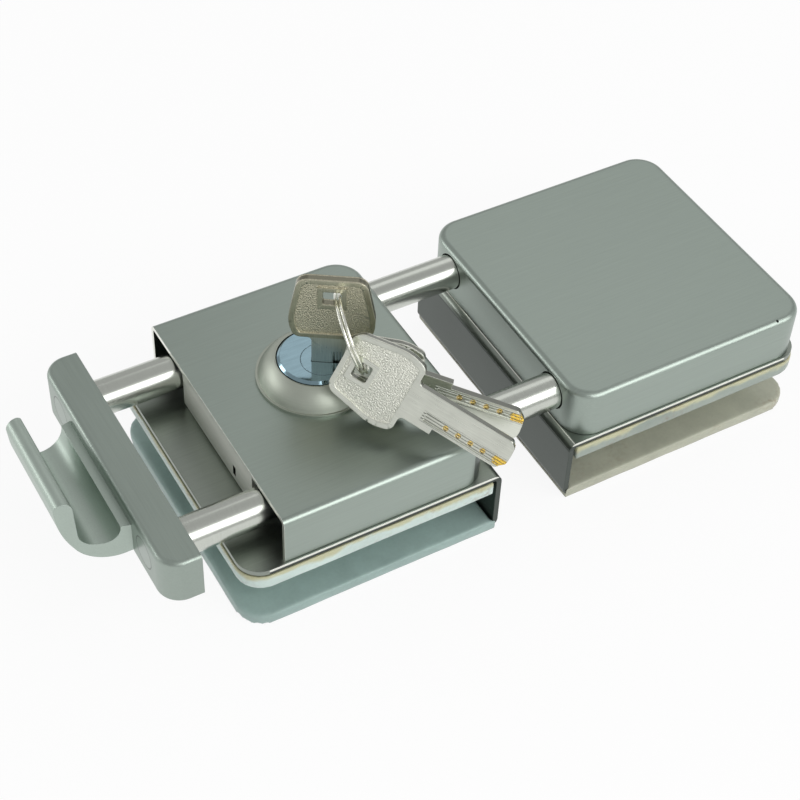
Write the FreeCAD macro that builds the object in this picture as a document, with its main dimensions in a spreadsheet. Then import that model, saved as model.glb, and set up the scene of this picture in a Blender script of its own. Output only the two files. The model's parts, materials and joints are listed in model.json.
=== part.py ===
import FreeCAD, Part
import math
import os
import Sketcher
from types import SimpleNamespace

# Glass door lock, in millimetres. +Z is up and the part stands on its two lower jaw
# pads. The origin is on the key plug's axis, on the centre line, at the underside.
# The bolts run along X: the pull is at -X, the keeper on the other glass leaf at +X.

doc = FreeCAD.newDocument("glass_door_lock")


# Driving dimensions

SIZES = [
    ("frame_width", 80.0, "width of both bent sheet frames"),
    ("frame_sheet", 1.5, "sheet thickness of the frames"),
    ("bend_inside", 1.0, "inside radius of the frames' bends"),
    ("frame_corner", 7.0, "corner radius of the frames' free ends"),
    ("pad_skin", 1.0, "rubber above and below the lower flange"),
    ("pad_proud", 0.4, "how far the rubber stands proud of the frame's edges"),
    ("pad_corner", 7.4, "corner radius of the rubber pads"),
    ("pad_edge", 1.2, "rounding of the upper pad's lower edge"),
    ("boot_setback", 0.6, "outside of the frame's wall to the lower pad's end"),
    ("pad_rim", 1.1, "rubber rim round the pressure plate"),
    ("glass_slot", 10.9, "free height of the glass slot"),
    ("upper_pad_height", 5.0, "height of the upper pad"),
    ("pressure_sheet", 1.5, "thickness of the pressure plates"),
    ("jack_gap", 0.4, "gap between upper pad and base plate"),
    ("wall_gap", 0.8, "gap between the upper pad and the frame's wall"),
    ("case_front", 42.2, "plug axis to the free edge of the case frame"),
    ("case_back", 32.0, "plug axis to the outside of the case frame's wall"),
    ("cover_front", 31.5, "plug axis to the open end of the cover"),
    ("cover_back", 28.7, "plug axis to the cover's end wall"),
    ("cover_width", 78.8, "width of the cover and the keeper lid"),
    ("cover_height", 15.2, "height of the cover and the keeper lid"),
    ("cover_sheet", 1.2, "sheet thickness of the cover and the lid"),
    ("cover_corner", 8.0, "upright corner radius of the cover and the lid"),
    ("cover_edge", 2.0, "rounding of the top edges"),
    ("leaf_gap", 21.2, "distance between the two frames' walls"),
    ("keeper_length", 78.2, "length of the keeper frame"),
    ("lid_inset", 1.8, "keeper frame's wall to the lid's near wall"),
    ("lid_length", 76.0, "length of the keeper lid"),
    ("bolt_radius", 5.0, "radius of the two bolts"),
    ("bolt_inset", 12.9, "side of the cover to each bolt's axis"),
    ("bolt_rise", 8.4, "base plate to the bolts' axis"),
    ("bolt_end", 58.5, "plug axis to the bolts' free end"),
    ("bolt_chamfer", 0.6, "chamfer of the bolts' free ends"),
    ("bolt_window", 0.35, "clearance round the bolts in the sheet walls"),
    ("guide_play", 0.1, "clearance round the bolts in their guides"),
    ("guide_sheet", 3.0, "thickness of the guide blocks"),
    ("guide_inner", 9.0, "bolts' axis to the guide blocks' inner side"),
    ("guide_outer", 1.9, "side of the cover to the guide blocks' outer side"),
    ("guide_drop", 0.3, "guide blocks' top below the cover's inside"),
    ("front_guide", 27.0, "plug axis to the front of the front guides"),
    ("rear_guide", 24.3, "plug axis to the front of the rear guides"),
    ("keeper_guide", 3.1, "keeper frame's wall to the keeper guides"),
    ("stop_radius", 1.25, "radius of the stop pins"),
    ("stop_room", 3.7, "stop pins' ends to the inside of the cover"),
    ("stop_seat", 3.0, "depth of the stop pins in the bolts"),
    ("stop_place", 1.1, "plug axis to the stop pins"),
    ("yoke_gap", 21.9, "open end of the cover to the yoke"),
    ("yoke_depth", 10.0, "depth of the yoke bar"),
    ("yoke_lift", 0.6, "yoke above the base plate's level"),
    ("yoke_corner", 6.25, "upright corner radius of the yoke"),
    ("yoke_edge", 1.5, "rounding of the yoke's top edges"),
    ("yoke_foot", 1.0, "rounding of the yoke's lower edges"),
    ("bolt_seat", 5.0, "depth of the bolts in the yoke"),
    ("end_screw_radius", 4.2, "radius of the flush screws in the bolts' ends"),
    ("pull_half", 19.6, "half length of the pull at its root"),
    ("pull_slant", 0.243, "slant of the pull's ends, per mm away from the yoke"),
    ("pull_root_top", 3.6, "top of the pull's root below the cover's top"),
    ("pull_root_low", 13.0, "underside of the pull's root below the cover's top"),
    ("pull_root_run", 2.6, "flat top of the pull's root, from the yoke"),
    ("trough_depth", 8.65, "bottom of the finger trough below the cover's top"),
    ("trough_run", 12.6, "yoke to the far side of the finger trough"),
    ("trough_near", 4.6, "radius of the trough on the yoke's side"),
    ("trough_far", 5.0, "radius of the trough on the lip's side"),
    ("lip_rise", 8.3, "top of the pull's lip above the cover's top"),
    ("lip_inner", 13.15, "yoke to the lip's inner side"),
    ("lip_outer", 17.85, "yoke to the lip's outer side"),
    ("lip_radius", 2.2, "rounding of the lip"),
    ("heel_run", 16.9, "yoke to the corner of the pull's outer side"),
    ("heel_drop", 2.9, "the same corner below the cover's top"),
    ("heel_radius", 26.0, "radius of the pull's outer side"),
    ("belly_run", 9.7, "yoke to the corner under the pull"),
    ("belly_drop", 16.5, "the same corner below the cover's top"),
    ("belly_radius", 10.0, "radius of the pull's underside"),
    ("pull_screw_spread", 12.0, "centre line to the pull's screws"),
    ("pull_screw_drop", 11.4, "pull's screws below the cover's top"),
    ("pull_screw_reach", 5.0, "length of the pull's screws in its root"),
    ("screw_radius", 1.5, "radius of the small countersunk screws"),
    ("screw_head", 3.0, "radius of their heads"),
    ("screw_sink", 1.5, "height of their heads"),
    ("post_radius", 3.0, "radius of the posts under cover and lid"),
    ("post_spread", 13.0, "centre line to each post"),
    ("post_thread", 8.0, "length of the screws in the posts"),
    ("case_post", 18.5, "plug axis to the cover's posts"),
    ("keeper_post_first", 20.0, "keeper wall to the first posts"),
    ("keeper_post_second", 62.0, "keeper wall to the second posts"),
    ("grub_radius", 2.5, "radius of the grub screws"),
    ("grub_rise", 3.2, "grub screws' top above the base plate"),
    ("grub_spread", 12.5, "centre line to each grub screw"),
    ("nut_radius", 4.3, "radius of the clinch nuts"),
    ("nut_shank", 3.3, "radius of the clinch nuts' shanks in the plate"),
    ("nut_height", 2.4, "height of the clinch nuts above the plate"),
    ("case_grub_first", 23.0, "case wall to the first grub screws"),
    ("case_grub_second", 50.0, "case wall to the second grub screws"),
    ("keeper_grub_first", 31.0, "keeper wall to the first grub screws"),
    ("keeper_grub_second", 50.0, "keeper wall to the second grub screws"),
    ("bracket_setback", 0.4, "open end of the cover to the end bracket"),
    ("bracket_sheet", 1.2, "sheet thickness of the end bracket"),
    ("bracket_room", 1.0, "side of the bolts to the end bracket"),
    ("bracket_foot", 3.8, "length of the end bracket's foot"),
    ("bracket_bend", 0.8, "inside radius of the end bracket's bend"),
    ("bracket_slot_place", 10.1, "centre line to the slot in the end bracket"),
    ("bracket_slot_rise", 4.9, "base plate to the slot's centre"),
    ("bracket_slot_width", 1.6, "width of the slot"),
    ("bracket_slot_height", 3.4, "height of the slot"),
    ("barrel_shift_x", -0.9, "plug axis to the barrel's axis, along X"),
    ("barrel_shift_y", 2.2, "plug axis to the barrel's axis, along Y"),
    ("barrel_radius", 9.0, "radius of the lock barrel"),
    ("barrel_head", 10.3, "radius of the barrel's head"),
    ("barrel_head_height", 3.5, "height of the barrel's head"),
    ("barrel_chamfer", 0.7, "chamfer of the barrel's head"),
    ("barrel_rise", 7.0, "barrel's face above the cover"),
    ("barrel_length", 15.3, "length of the barrel, face to lower end"),
    ("barrel_play", 0.15, "clearance round the barrel in cover and rosette"),
    ("rosette_radius", 16.0, "radius of the rosette's foot"),
    ("rosette_foot", 0.8, "height of the rosette's foot"),
    ("rosette_step", 0.6, "set-back of the cone above the foot"),
    ("rosette_top", 11.0, "radius of the rosette's top"),
    ("rosette_height", 6.3, "height of the rosette"),
    ("rosette_bulge", 0.7, "outward bulge of the rosette's cone"),
    ("rosette_crown", 11.0, "radius of the bulge"),
    ("rosette_bore", 10.6, "radius of the rosette's counterbore"),
    ("ring_nut_radius", 12.0, "radius of the barrel's ring nut"),
    ("ring_nut_height", 3.5, "height of the ring nut"),
    ("plug_radius", 5.9, "radius of the key plug"),
    ("plug_play", 0.1, "clearance round the plug"),
    ("plug_tail", 5.8, "length of the plug's tail below the barrel"),
    ("tail_flat", 4.6, "plug axis to each flat of the tail"),
    ("keyway_angle", -33.0, "direction of the keyway's wide side, in degrees"),
    ("keyway_width", 2.5, "width of the keyway"),
    ("keyway_play", 0.1, "clearance at the keyway's closed end"),
    ("cam_sheet", 2.0, "thickness of the cam"),
    ("cam_drop", 0.5, "cam below the barrel"),
    ("cam_hub", 8.5, "radius of the cam's hub"),
    ("cam_width", 7.0, "width of the cam's tongue"),
    ("cam_short", 1.8, "bolts' axis to the end of the cam's tongue"),
    ("clip_sheet", 0.8, "thickness of the retaining clip"),
    ("clip_drop", 0.2, "clip below the cam"),
    ("clip_outer", 7.0, "outer radius of the clip"),
    ("clip_inner", 5.3, "radius of the clip's groove"),
    ("clip_mouth", 7.4, "width of the clip's mouth"),
    ("pocket_before", 13.5, "bolt pocket ahead of the plug axis"),
    ("pocket_behind", 4.0, "bolt pocket behind the plug axis"),
    ("pocket_floor", 1.0, "bolts' axis to the bottom of the bolt pockets"),
    ("pocket_play", 0.3, "bolt pockets above and below the cam"),
    ("travel_home", 21.6, "bolt travel towards the keeper"),
    ("travel_back", 23.5, "bolt travel away from the keeper"),
    ("pin_radius", 1.0, "radius of the lock's pins"),
    ("pin_count", 4.0, "pin stations along the plug"),
    ("pin_first", 2.8, "face of the plug to the first pin"),
    ("pin_pitch", 3.6, "distance between pins"),
    ("pin_offset", 1.15, "pins' line ahead of the plug axis"),
    ("pin_tip", 1.3, "key pins' tips from the blade's middle plane"),
    ("key_pin_end", 5.45, "key pins' outer ends from the same plane"),
    ("driver_start", 6.05, "driver pins' inner ends from the same plane"),
    ("driver_length", 1.9, "length of the driver pins"),
    ("chamber_reach", 0.55, "end of the pin chambers past the barrel's radius"),
    ("chamber_play", 0.05, "clearance round the pins in their chambers"),
    ("key_sheet", 2.3, "thickness of the keys"),
    ("key_tip", 5.0, "tip of the inserted key past the barrel's lower end"),
    ("key_shoulder", 28.5, "end of the bow to the key's shoulder"),
    ("key_step", 1.6, "step at the shoulder"),
    ("key_back", 5.2, "key's middle line to the blade's back"),
    ("key_front", 3.4, "key's middle line to the blade's front"),
    ("key_shift", 2.25, "plug axis to the key's middle line"),
    ("bow_end_half", 8.7, "half width of the bow at its end"),
    ("bow_half", 11.4, "half width of the bow where it is widest"),
    ("bow_widest", 14.4, "end of the bow to its widest place"),
    ("bow_length", 19.8, "length of the bow"),
    ("bow_lobe", 9.8, "half width of the bow at its lower lobes"),
    ("bow_end_corner", 3.2, "corner radius at the end of the bow"),
    ("bow_side_corner", 12.0, "corner radius where the bow is widest"),
    ("bow_lobe_corner", 2.4, "corner radius of the bow's lower lobes"),
    ("neck_corner", 1.2, "inside corner radius between bow and blade"),
    ("bow_rim", 1.3, "width of the bow's raised rim"),
    ("bow_sink", 0.3, "depth of the sunk field of the bow"),
    ("hole_near", 3.8, "end of the bow to the ring hole"),
    ("hole_length", 4.4, "ring hole along the key"),
    ("hole_width", 4.8, "ring hole across the key"),
    ("hole_corner", 0.6, "corner radius of the ring hole"),
    ("hole_land", 1.3, "raised land round the ring hole"),
    ("tip_cut_front", 2.2, "tip's slant cut on the front side"),
    ("tip_cut_back", 1.6, "tip's slant cut on the back side"),
    ("tip_round", 1.2, "corner radius of the slant cuts"),
    ("groove_depth", 0.45, "depth of the blade's groove"),
    ("groove_width", 2.4, "width of the blade's groove"),
    ("groove_place", 1.95, "blade's front edge to the groove's middle"),
    ("groove_ahead", 3.2, "groove's start ahead of the shoulder"),
    ("dimple_radius", 0.8, "radius of the dimples"),
    ("dimple_depth", 0.35, "depth of the dimples in the groove"),
    ("ring_radius", 10.78, "middle radius of the key ring"),
    ("ring_wire", 0.46, "half thickness of the key ring's wire"),
    ("ring_pitch", 1.0, "distance between the key ring's two turns"),
    ("ring_turns", 1.95, "turns of the key ring's wire"),
    ("ring_x", 4.54, "plug axis to the key ring's centre, along X"),
    ("ring_y", -6.8, "plug axis to the key ring's centre, along Y"),
    ("ring_rise", 20.43, "key ring's centre above the cover"),
    ("front_key_x", -1.18, "plug axis to the front loose key's bow, along X"),
    ("front_key_y", -12.39, "plug axis to the front loose key's bow, along Y"),
    ("front_key_rise", 18.92, "front loose key's bow above the cover"),
    ("back_key_x", -0.26, "plug axis to the back loose key's bow, along X"),
    ("back_key_y", -10.13, "plug axis to the back loose key's bow, along Y"),
    ("back_key_rise", 15.05, "back loose key's bow above the cover"),
]

sheet = doc.addObject("Spreadsheet::Sheet", "sizes")
for row, (alias, number, meaning) in enumerate(SIZES, start=1):
    sheet.set(f"A{row}", meaning)
    sheet.set(f"B{row}", str(number))
    sheet.setAlias(f"B{row}", alias)
doc.recompute()


class Size:
    """A length that knows its number and how the sheet works it out."""

    def __init__(self, number, text):
        self.number = float(number)
        self.text = text

    def __add__(self, other):
        other = as_size(other)
        return Size(self.number + other.number, f"({self.text} + {other.text})")

    def __sub__(self, other):
        other = as_size(other)
        return Size(self.number - other.number, f"({self.text} - {other.text})")

    def __rsub__(self, other):
        return as_size(other) - self

    def __mul__(self, other):
        other = as_size(other)
        return Size(self.number * other.number, f"({self.text} * {other.text})")

    def __truediv__(self, other):
        other = as_size(other)
        return Size(self.number / other.number, f"({self.text} / {other.text})")

    def __neg__(self):
        return Size(-self.number, f"(0 - {self.text})")

    __radd__ = __add__
    __rmul__ = __mul__


def as_size(value):
    """Take a plain number or a Size."""
    return value if isinstance(value, Size) else Size(value, repr(float(value)))


def bind(piece, name, value):
    """Tie a property to the sheet."""
    piece.setExpression(name, as_size(value).text)


S = SimpleNamespace(**{alias: Size(getattr(sheet, alias), "sizes." + alias) for alias, _, _ in SIZES})
ZERO = as_size(0)

# Heights, from the underside up

flange_low = S.pad_skin
flange_high = flange_low + S.frame_sheet
slot_low = flange_high + S.pad_skin
slot_high = slot_low + S.glass_slot
pad_high = slot_high + S.upper_pad_height
plate_low = pad_high + S.jack_gap
plate_high = plate_low + S.frame_sheet
cover_high = plate_high + S.cover_height
cover_inside = cover_high - S.cover_sheet
bolt_high = plate_high + S.bolt_rise
barrel_face = cover_high + S.barrel_rise
barrel_low = barrel_face - S.barrel_length
cam_high = barrel_low - S.cam_drop
cam_low = cam_high - S.cam_sheet
clip_high = cam_low - S.clip_drop
clip_low = clip_high - S.clip_sheet
tail_low = barrel_low - S.plug_tail

# Places along X

yoke_back = -(S.cover_front + S.yoke_gap)
yoke_front = yoke_back - S.yoke_depth
keeper_wall = S.case_back + S.leaf_gap
lid_start = keeper_wall + S.lid_inset
lid_end = lid_start + S.lid_length
frame_half = S.frame_width / 2
pad_half = frame_half + S.pad_proud
cover_half = S.cover_width / 2
bolt_spread = cover_half - S.bolt_inset

# How far a cutting tool reaches past what it cuts
PAST = 1.0


# Making and placing

def move(piece, across=ZERO, along=ZERO, up=ZERO):
    """Bind a piece's place."""
    for axis, value in zip("xyz", (across, along, up)):
        bind(piece, "Placement.Base." + axis, value)
    return piece


def turn(piece, axis, degrees):
    """Turn a piece about an axis through its own origin."""
    place = piece.Placement
    place.Rotation = FreeCAD.Rotation(FreeCAD.Vector(*axis), 1)
    piece.Placement = place
    bind(piece, "Placement.Rotation.Angle", degrees)
    return piece


def box(name, low, high):
    """A block between two corners."""
    piece = doc.addObject("Part::Box", name)
    for side, near, far in zip(("Length", "Width", "Height"), low, high):
        bind(piece, side, as_size(far) - near)
    return move(piece, *low)


def rod(name, radius, start, length, axis=(0, 0, 1)):
    """A cylinder from its start along an axis."""
    piece = doc.addObject("Part::Cylinder", name)
    bind(piece, "Radius", radius)
    bind(piece, "Height", length)
    piece.Placement.Rotation = FreeCAD.Rotation(FreeCAD.Vector(0, 0, 1), FreeCAD.Vector(*axis))
    return move(piece, *start)


def together(name, pieces):
    """A group of separate solids."""
    group = doc.addObject("Part::Compound", name)
    group.Links = pieces
    return group


def fused(name, pieces):
    """One solid out of several."""
    whole = doc.addObject("Part::MultiFuse", name)
    whole.Shapes = pieces
    return whole


def less(name, base, tools):
    """A base with every tool cut away."""
    result = doc.addObject("Part::Cut", name)
    result.Base = base
    result.Tool = tools[0] if len(tools) == 1 else fused(name + "_tools", tools)
    return result


# Sketches and their features

def origin_part(body, role):
    return next(item for item in body.Origin.OriginFeatures if item.Role == role)


def new_sketch(body, name, role, lift=ZERO):
    """An empty sketch on one of the body's own planes, lifted off it."""
    sketch = body.newObject("Sketcher::SketchObject", name)
    sketch.AttachmentSupport = (origin_part(body, role), [""])
    sketch.MapMode = "FlatFace"
    bind(sketch, "AttachmentOffset.Base.z", lift)
    return sketch


def fix(sketch, element, point, place):
    """Place a sketch point from the sketch's origin."""
    for kind, value in zip(("DistanceX", "DistanceY"), place):
        value = as_size(value)
        index = sketch.addConstraint(Sketcher.Constraint(kind, -1, 1, element, point, value.number))
        bind(sketch, f"Constraints[{index}]", value)


def draw_circle(sketch, centre, radius):
    """A circle with its centre and radius tied to the sheet."""
    middle = FreeCAD.Vector(as_size(centre[0]).number, as_size(centre[1]).number, 0)
    circle = sketch.addGeometry(Part.Circle(middle, FreeCAD.Vector(0, 0, 1), radius.number))
    index = sketch.addConstraint(Sketcher.Constraint("Radius", circle, radius.number))
    bind(sketch, f"Constraints[{index}]", radius)
    fix(sketch, circle, 3, centre)


def draw_polygon(sketch, centre, reach, sides):
    """A regular polygon with its corners one reach from its centre."""
    angles = [2 * math.pi * (side + 0.5) / sides for side in range(sides)]
    draw_outline(sketch, [
        (centre[0] + reach * math.cos(angle), centre[1] + reach * math.sin(angle)) for angle in angles])


def draw_outline(sketch, corners):
    """A closed outline of straight sides; a corner is (across, up) or (across, up, radius)."""
    spots = [FreeCAD.Vector(as_size(corner[0]).number, as_size(corner[1]).number, 0) for corner in corners]
    count = len(corners)
    starts, ends, arcs = {}, {}, {}
    for index, corner in enumerate(corners):
        before = (spots[index - 1] - spots[index]).normalize()
        after = (spots[(index + 1) % count] - spots[index]).normalize()
        starts[index] = ends[index] = spots[index]
        if len(corner) == 3:
            half = before.getAngle(after) / 2
            radius = corner[2].number
            reach = radius / math.tan(half)
            ends[index] = spots[index] + before * reach
            starts[index] = spots[index] + after * reach
            centre = spots[index] + (before + after).normalize() * (radius / math.sin(half))
            arcs[index] = (centre, radius, before.cross(after).z < 0)
    lines = []
    for index in range(count):
        last = (index + 1) % count
        lines.append(sketch.addGeometry(Part.LineSegment(starts[index], ends[last])))
    for index, corner in enumerate(corners):
        came, goes = lines[index - 1], lines[index]
        if index not in arcs:
            sketch.addConstraint(Sketcher.Constraint("Coincident", came, 2, goes, 1))
            fix(sketch, goes, 1, corner[:2])
            continue
        centre, radius, left_turn = arcs[index]
        first, second = (ends[index], starts[index]) if left_turn else (starts[index], ends[index])
        angles = [math.atan2(spot.y - centre.y, spot.x - centre.x) for spot in (first, second)]
        circle = Part.Circle(centre, FreeCAD.Vector(0, 0, 1), radius)
        arc = sketch.addGeometry(Part.ArcOfCircle(circle, angles[0], angles[1]))
        enter, leave = (1, 2) if left_turn else (2, 1)
        sketch.addConstraint(Sketcher.Constraint("Tangent", came, 2, arc, enter))
        sketch.addConstraint(Sketcher.Constraint("Tangent", arc, leave, goes, 1))
        number = sketch.addConstraint(Sketcher.Constraint("Radius", arc, radius))
        bind(sketch, f"Constraints[{number}]", corner[2])
        peak = sketch.addGeometry(Part.Point(spots[index]), True)
        fix(sketch, peak, 1, corner[:2])
        sketch.addConstraint(Sketcher.Constraint("PointOnObject", peak, 1, came))
        sketch.addConstraint(Sketcher.Constraint("PointOnObject", peak, 1, goes))
    return sketch


def rectangle(low, high, radius=None):
    """Corners of an upright rectangle."""
    extra = () if radius is None else (radius,)
    return [(low[0], low[1]) + extra, (high[0], low[1]) + extra,
            (high[0], high[1]) + extra, (low[0], high[1]) + extra]


def pad(body, sketch, length, kind="One side"):
    feature = body.newObject("PartDesign::Pad", sketch.Name + "_pad")
    feature.Profile = sketch
    feature.SideType = kind
    bind(feature, "Length", length)
    return feature


def pocket(body, sketch, length, kind="One side", backwards=False):
    feature = body.newObject("PartDesign::Pocket", sketch.Name + "_pocket")
    feature.Profile = sketch
    feature.SideType = kind
    feature.Reversed = backwards
    bind(feature, "Length", length)
    return feature


def solid_of(name, role, corners, length, lift=ZERO, kind="One side"):
    """A body padded from one outline."""
    body = doc.addObject("PartDesign::Body", name)
    pad(body, draw_outline(new_sketch(body, name + "_outline", role, lift), corners), length, kind)
    return body


def turned(name, corners, place=(ZERO, ZERO)):
    """A body revolved round its own upright axis from a radius and height outline."""
    body = doc.addObject("PartDesign::Body", name)
    sketch = draw_outline(new_sketch(body, name + "_profile", "XZ_Plane"), corners)
    spin = body.newObject("PartDesign::Revolution", name + "_turned")
    spin.Profile = sketch
    spin.ReferenceAxis = (sketch, ["V_Axis"])
    spin.Angle = 360
    return move(body, *place)


def dress(body, kind, amount, wanted):
    """Fillet or chamfer the edges of the body's last feature that a test picks."""
    doc.recompute()
    base = body.Tip
    names = [f"Edge{number}" for number, edge in enumerate(base.Shape.Edges, start=1) if wanted(edge)]
    feature = body.newObject("PartDesign::" + kind, f"{body.Name}_{kind}_{len(body.Group)}")
    feature.Base = (base, names)
    bind(feature, "Radius" if kind == "Fillet" else "Size", amount)
    return feature


def near(value, size):
    return abs(value - as_size(size).number) < 0.01


def upright_at(*places):
    """A test for upright edges at one of the places along X."""
    def test(edge):
        box_of = edge.BoundBox
        return box_of.ZLength > 0.1 and near(box_of.XLength, 0) and near(box_of.YLength, 0) and any(
            near(box_of.XMin, place) for place in places)
    return test


def level_at(height, but_not=None):
    """A test for edges at one height, leaving out a straight edge along Y at one place."""
    def test(edge):
        box_of = edge.BoundBox
        left_out = but_not is not None and near(box_of.XMin, but_not) and near(box_of.XMax, but_not)
        return near(box_of.ZMin, height) and near(box_of.ZMax, height) and not left_out
    return test


# Small fasteners

def countersunk(name, reach, place):
    """A countersunk screw that stands up from its head, with its length under the head."""
    corners = [(ZERO, ZERO), (S.screw_head, ZERO), (S.screw_radius, S.screw_sink),
               (S.screw_radius, S.screw_sink + reach), (ZERO, S.screw_sink + reach)]
    screw = turned(name, corners)
    return move(screw, *place)


# One glass clamp: a bent frame with its pads, pressure plate and jacks

def plan(first, second, half):
    """Corners of a rectangle between two places along X, the same distance to both sides."""
    low, high = (first, second) if first.number < second.number else (second, first)
    return rectangle((low, -half), (high, half))


def clamp(unit, wall, free_end, side, posts, grubs):
    """Everything that grips the glass on one leaf; side is +1 where the wall is at +X."""

    def inward(distance):
        return wall - distance * side

    def reach(value):
        """A place measured past the free end."""
        return free_end - value * side

    outer_bend = S.bend_inside + S.frame_sheet
    sheet_outline = [
        (free_end, plate_high), (wall, plate_high, outer_bend),
        (wall, flange_low, outer_bend), (free_end, flange_low),
        (free_end, flange_high), (inward(S.frame_sheet), flange_high, S.bend_inside),
        (inward(S.frame_sheet), plate_low, S.bend_inside), (free_end, plate_low)]
    jaw = solid_of(unit + "_sheet", "XZ_Plane", sheet_outline, S.frame_width, kind="Symmetric")
    dress(jaw, "Fillet", S.frame_corner, upright_at(free_end))

    # Posts of the cover or lid, with their countersunk screws from below
    post_list, screw_list, grub_list, nut_list, holes = [], [], [], [], []
    for number, distance in enumerate(posts):
        for hand in (-1, 1):
            spot = (inward(distance), S.post_spread * hand)
            tag = f"{unit}_{number}_{'near' if hand < 0 else 'far'}"
            screw = countersunk(tag + "_post_screw", S.post_thread, (*spot, plate_low))
            post = rod(tag + "_post_rod", S.post_radius, (*spot, plate_high), cover_inside - plate_high)
            post_list.append(less(tag + "_post", post, [screw]))
            screw_list.append(screw)
            holes.append(screw)

    # Grub screws in clinch nuts, which press the upper plate down on the glass
    for number, distance in enumerate(grubs):
        for hand in (-1, 1):
            spot = (inward(distance), S.grub_spread * hand)
            tag = f"{unit}_{number}_{'near' if hand < 0 else 'far'}"
            grub_top = plate_high + S.grub_rise
            grub_list.append(rod(tag + "_grub", S.grub_radius, (*spot, pad_high), grub_top - pad_high))
            shank = [(S.grub_radius, plate_low), (S.nut_shank, plate_low), (S.nut_shank, plate_high),
                     (S.nut_radius, plate_high), (S.nut_radius, plate_high + S.nut_height),
                     (S.grub_radius, plate_high + S.nut_height)]
            nut_list.append(turned(tag + "_nut", shank, spot))
            holes.append(rod(tag + "_nut_hole", S.nut_shank, (*spot, plate_low), S.frame_sheet))

    frame = less(unit + "_frame", jaw, holes)

    # Lower pad: a rubber boot over the flange
    low_side, high_side = reach(S.pad_proud), inward(S.boot_setback)
    boot = solid_of(unit + "_boot", "XY_Plane", plan(low_side, high_side, pad_half), slot_low)
    dress(boot, "Fillet", S.pad_corner, upright_at(low_side))
    lower = less(unit + "_lower_pad", boot, [jaw])

    # Upper pad: rubber with a rim round the pressure plate
    high_side = inward(S.frame_sheet + S.wall_gap)
    block = solid_of(unit + "_block", "XY_Plane", plan(low_side, high_side, pad_half),
                     S.upper_pad_height, slot_high)
    dress(block, "Fillet", S.pad_corner, upright_at(low_side))
    dress(block, "Fillet", S.pad_edge, level_at(slot_high))
    plate_far, plate_near = reach(S.pad_proud - S.pad_rim), inward(S.frame_sheet + S.wall_gap + S.pad_rim)
    plate = solid_of(unit + "_pressure_plate", "XY_Plane", plan(plate_far, plate_near, pad_half - S.pad_rim),
                     S.pressure_sheet, pad_high - S.pressure_sheet)
    dress(plate, "Fillet", S.pad_corner - S.pad_rim, upright_at(plate_far))
    upper = less(unit + "_upper_pad", block, [plate])

    return {
        "frame": frame, "lower_pad": lower, "upper_pad": upper, "pressure_plate": plate,
        "posts": together(unit + "_posts", post_list),
        "post_screws": together(unit + "_post_screws", screw_list),
        "grub_screws": together(unit + "_grub_screws", grub_list),
        "clinch_nuts": together(unit + "_clinch_nuts", nut_list)}


def sheet_box(unit, low, high, rounded, open_end=None):
    """A deep sheet lid, open below, and open at one end where that is asked for."""

    def form(name, inset, base, top, edge):
        start = low + (inset if open_end is None else -inset)
        corner = S.cover_corner - inset
        left = (corner,) if rounded else ()
        corners = [(start, -(cover_half - inset)) + left, (high - inset, -(cover_half - inset), corner),
                   (high - inset, cover_half - inset, corner), (start, cover_half - inset) + left]
        body = solid_of(name, "XY_Plane", corners, top - base, base)
        dress(body, "Fillet", edge, level_at(top, open_end and start))
        return body

    outer = form(unit + "_outer", ZERO, plate_high, cover_high, S.cover_edge)
    inner = form(unit + "_inner", S.cover_sheet, plate_high - S.cover_sheet, cover_inside,
                 S.cover_edge - S.cover_sheet)
    return outer, inner


def guides(name, start, room):
    """A pair of guide blocks, one round each bolt, that fit the room inside a lid."""
    blocks = []
    for hand in (-1, 1):
        inner, outer = (bolt_spread - S.guide_inner) * hand, (cover_half - S.guide_outer) * hand
        low, high = (outer, inner) if hand < 0 else (inner, outer)
        body = doc.addObject("PartDesign::Body", f"{name}_{'near' if hand < 0 else 'far'}")
        sketch = new_sketch(body, body.Name + "_outline", "YZ_Plane", start)
        draw_outline(sketch, rectangle((low, plate_high), (high, cover_inside - S.guide_drop)))
        draw_circle(sketch, (bolt_spread * hand, bolt_high), S.bolt_radius + S.guide_play)
        pad(body, sketch, S.guide_sheet)
        blocks.append(body)
    result = doc.addObject("Part::Common", name)
    result.Base = together(name + "_blanks", blocks)
    result.Tool = room
    return result


def windows(unit, wall_start):
    """Cutters for the two bolt windows in a sheet wall."""
    return [rod(f"{unit}_window_{hand + 1}", S.bolt_radius + S.bolt_window,
                (wall_start - S.cover_sheet, bolt_spread * hand, bolt_high), S.cover_sheet * 3, (1, 0, 0))
            for hand in (-1, 1)]


# Lock case and keeper

case = clamp("case", S.case_back, -S.case_front, 1, [S.case_back - S.case_post],
             [S.case_grub_first, S.case_grub_second])
keeper = clamp("keeper", keeper_wall, keeper_wall + S.keeper_length, -1,
               [S.keeper_post_first, S.keeper_post_second], [S.keeper_grub_first, S.keeper_grub_second])

barrel_axis = (S.barrel_shift_x, S.barrel_shift_y)
cover_outer, cover_inner = sheet_box("case", -S.cover_front, S.cover_back, False, True)
barrel_hole = rod("case_barrel_hole", S.barrel_radius + S.barrel_play,
                  (*barrel_axis, cover_inside - S.cover_sheet), S.cover_sheet * 3)
case_cover = less("case_cover", cover_outer,
                  [cover_inner, barrel_hole] + windows("case", S.cover_back - S.cover_sheet))

lid_outer, lid_inner = sheet_box("keeper", lid_start, lid_end, True)
keeper_lid = less("keeper_lid", lid_outer, [lid_inner] + windows("keeper", lid_start))

front_guides = guides("front_guide_blocks", -S.front_guide, cover_inner)
rear_guides = guides("rear_guide_blocks", S.rear_guide, cover_inner)
keeper_guides = guides("keeper_guide_blocks", keeper_wall + S.keeper_guide, lid_inner)

# End bracket: an angle that closes the open end between the bolts

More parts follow.
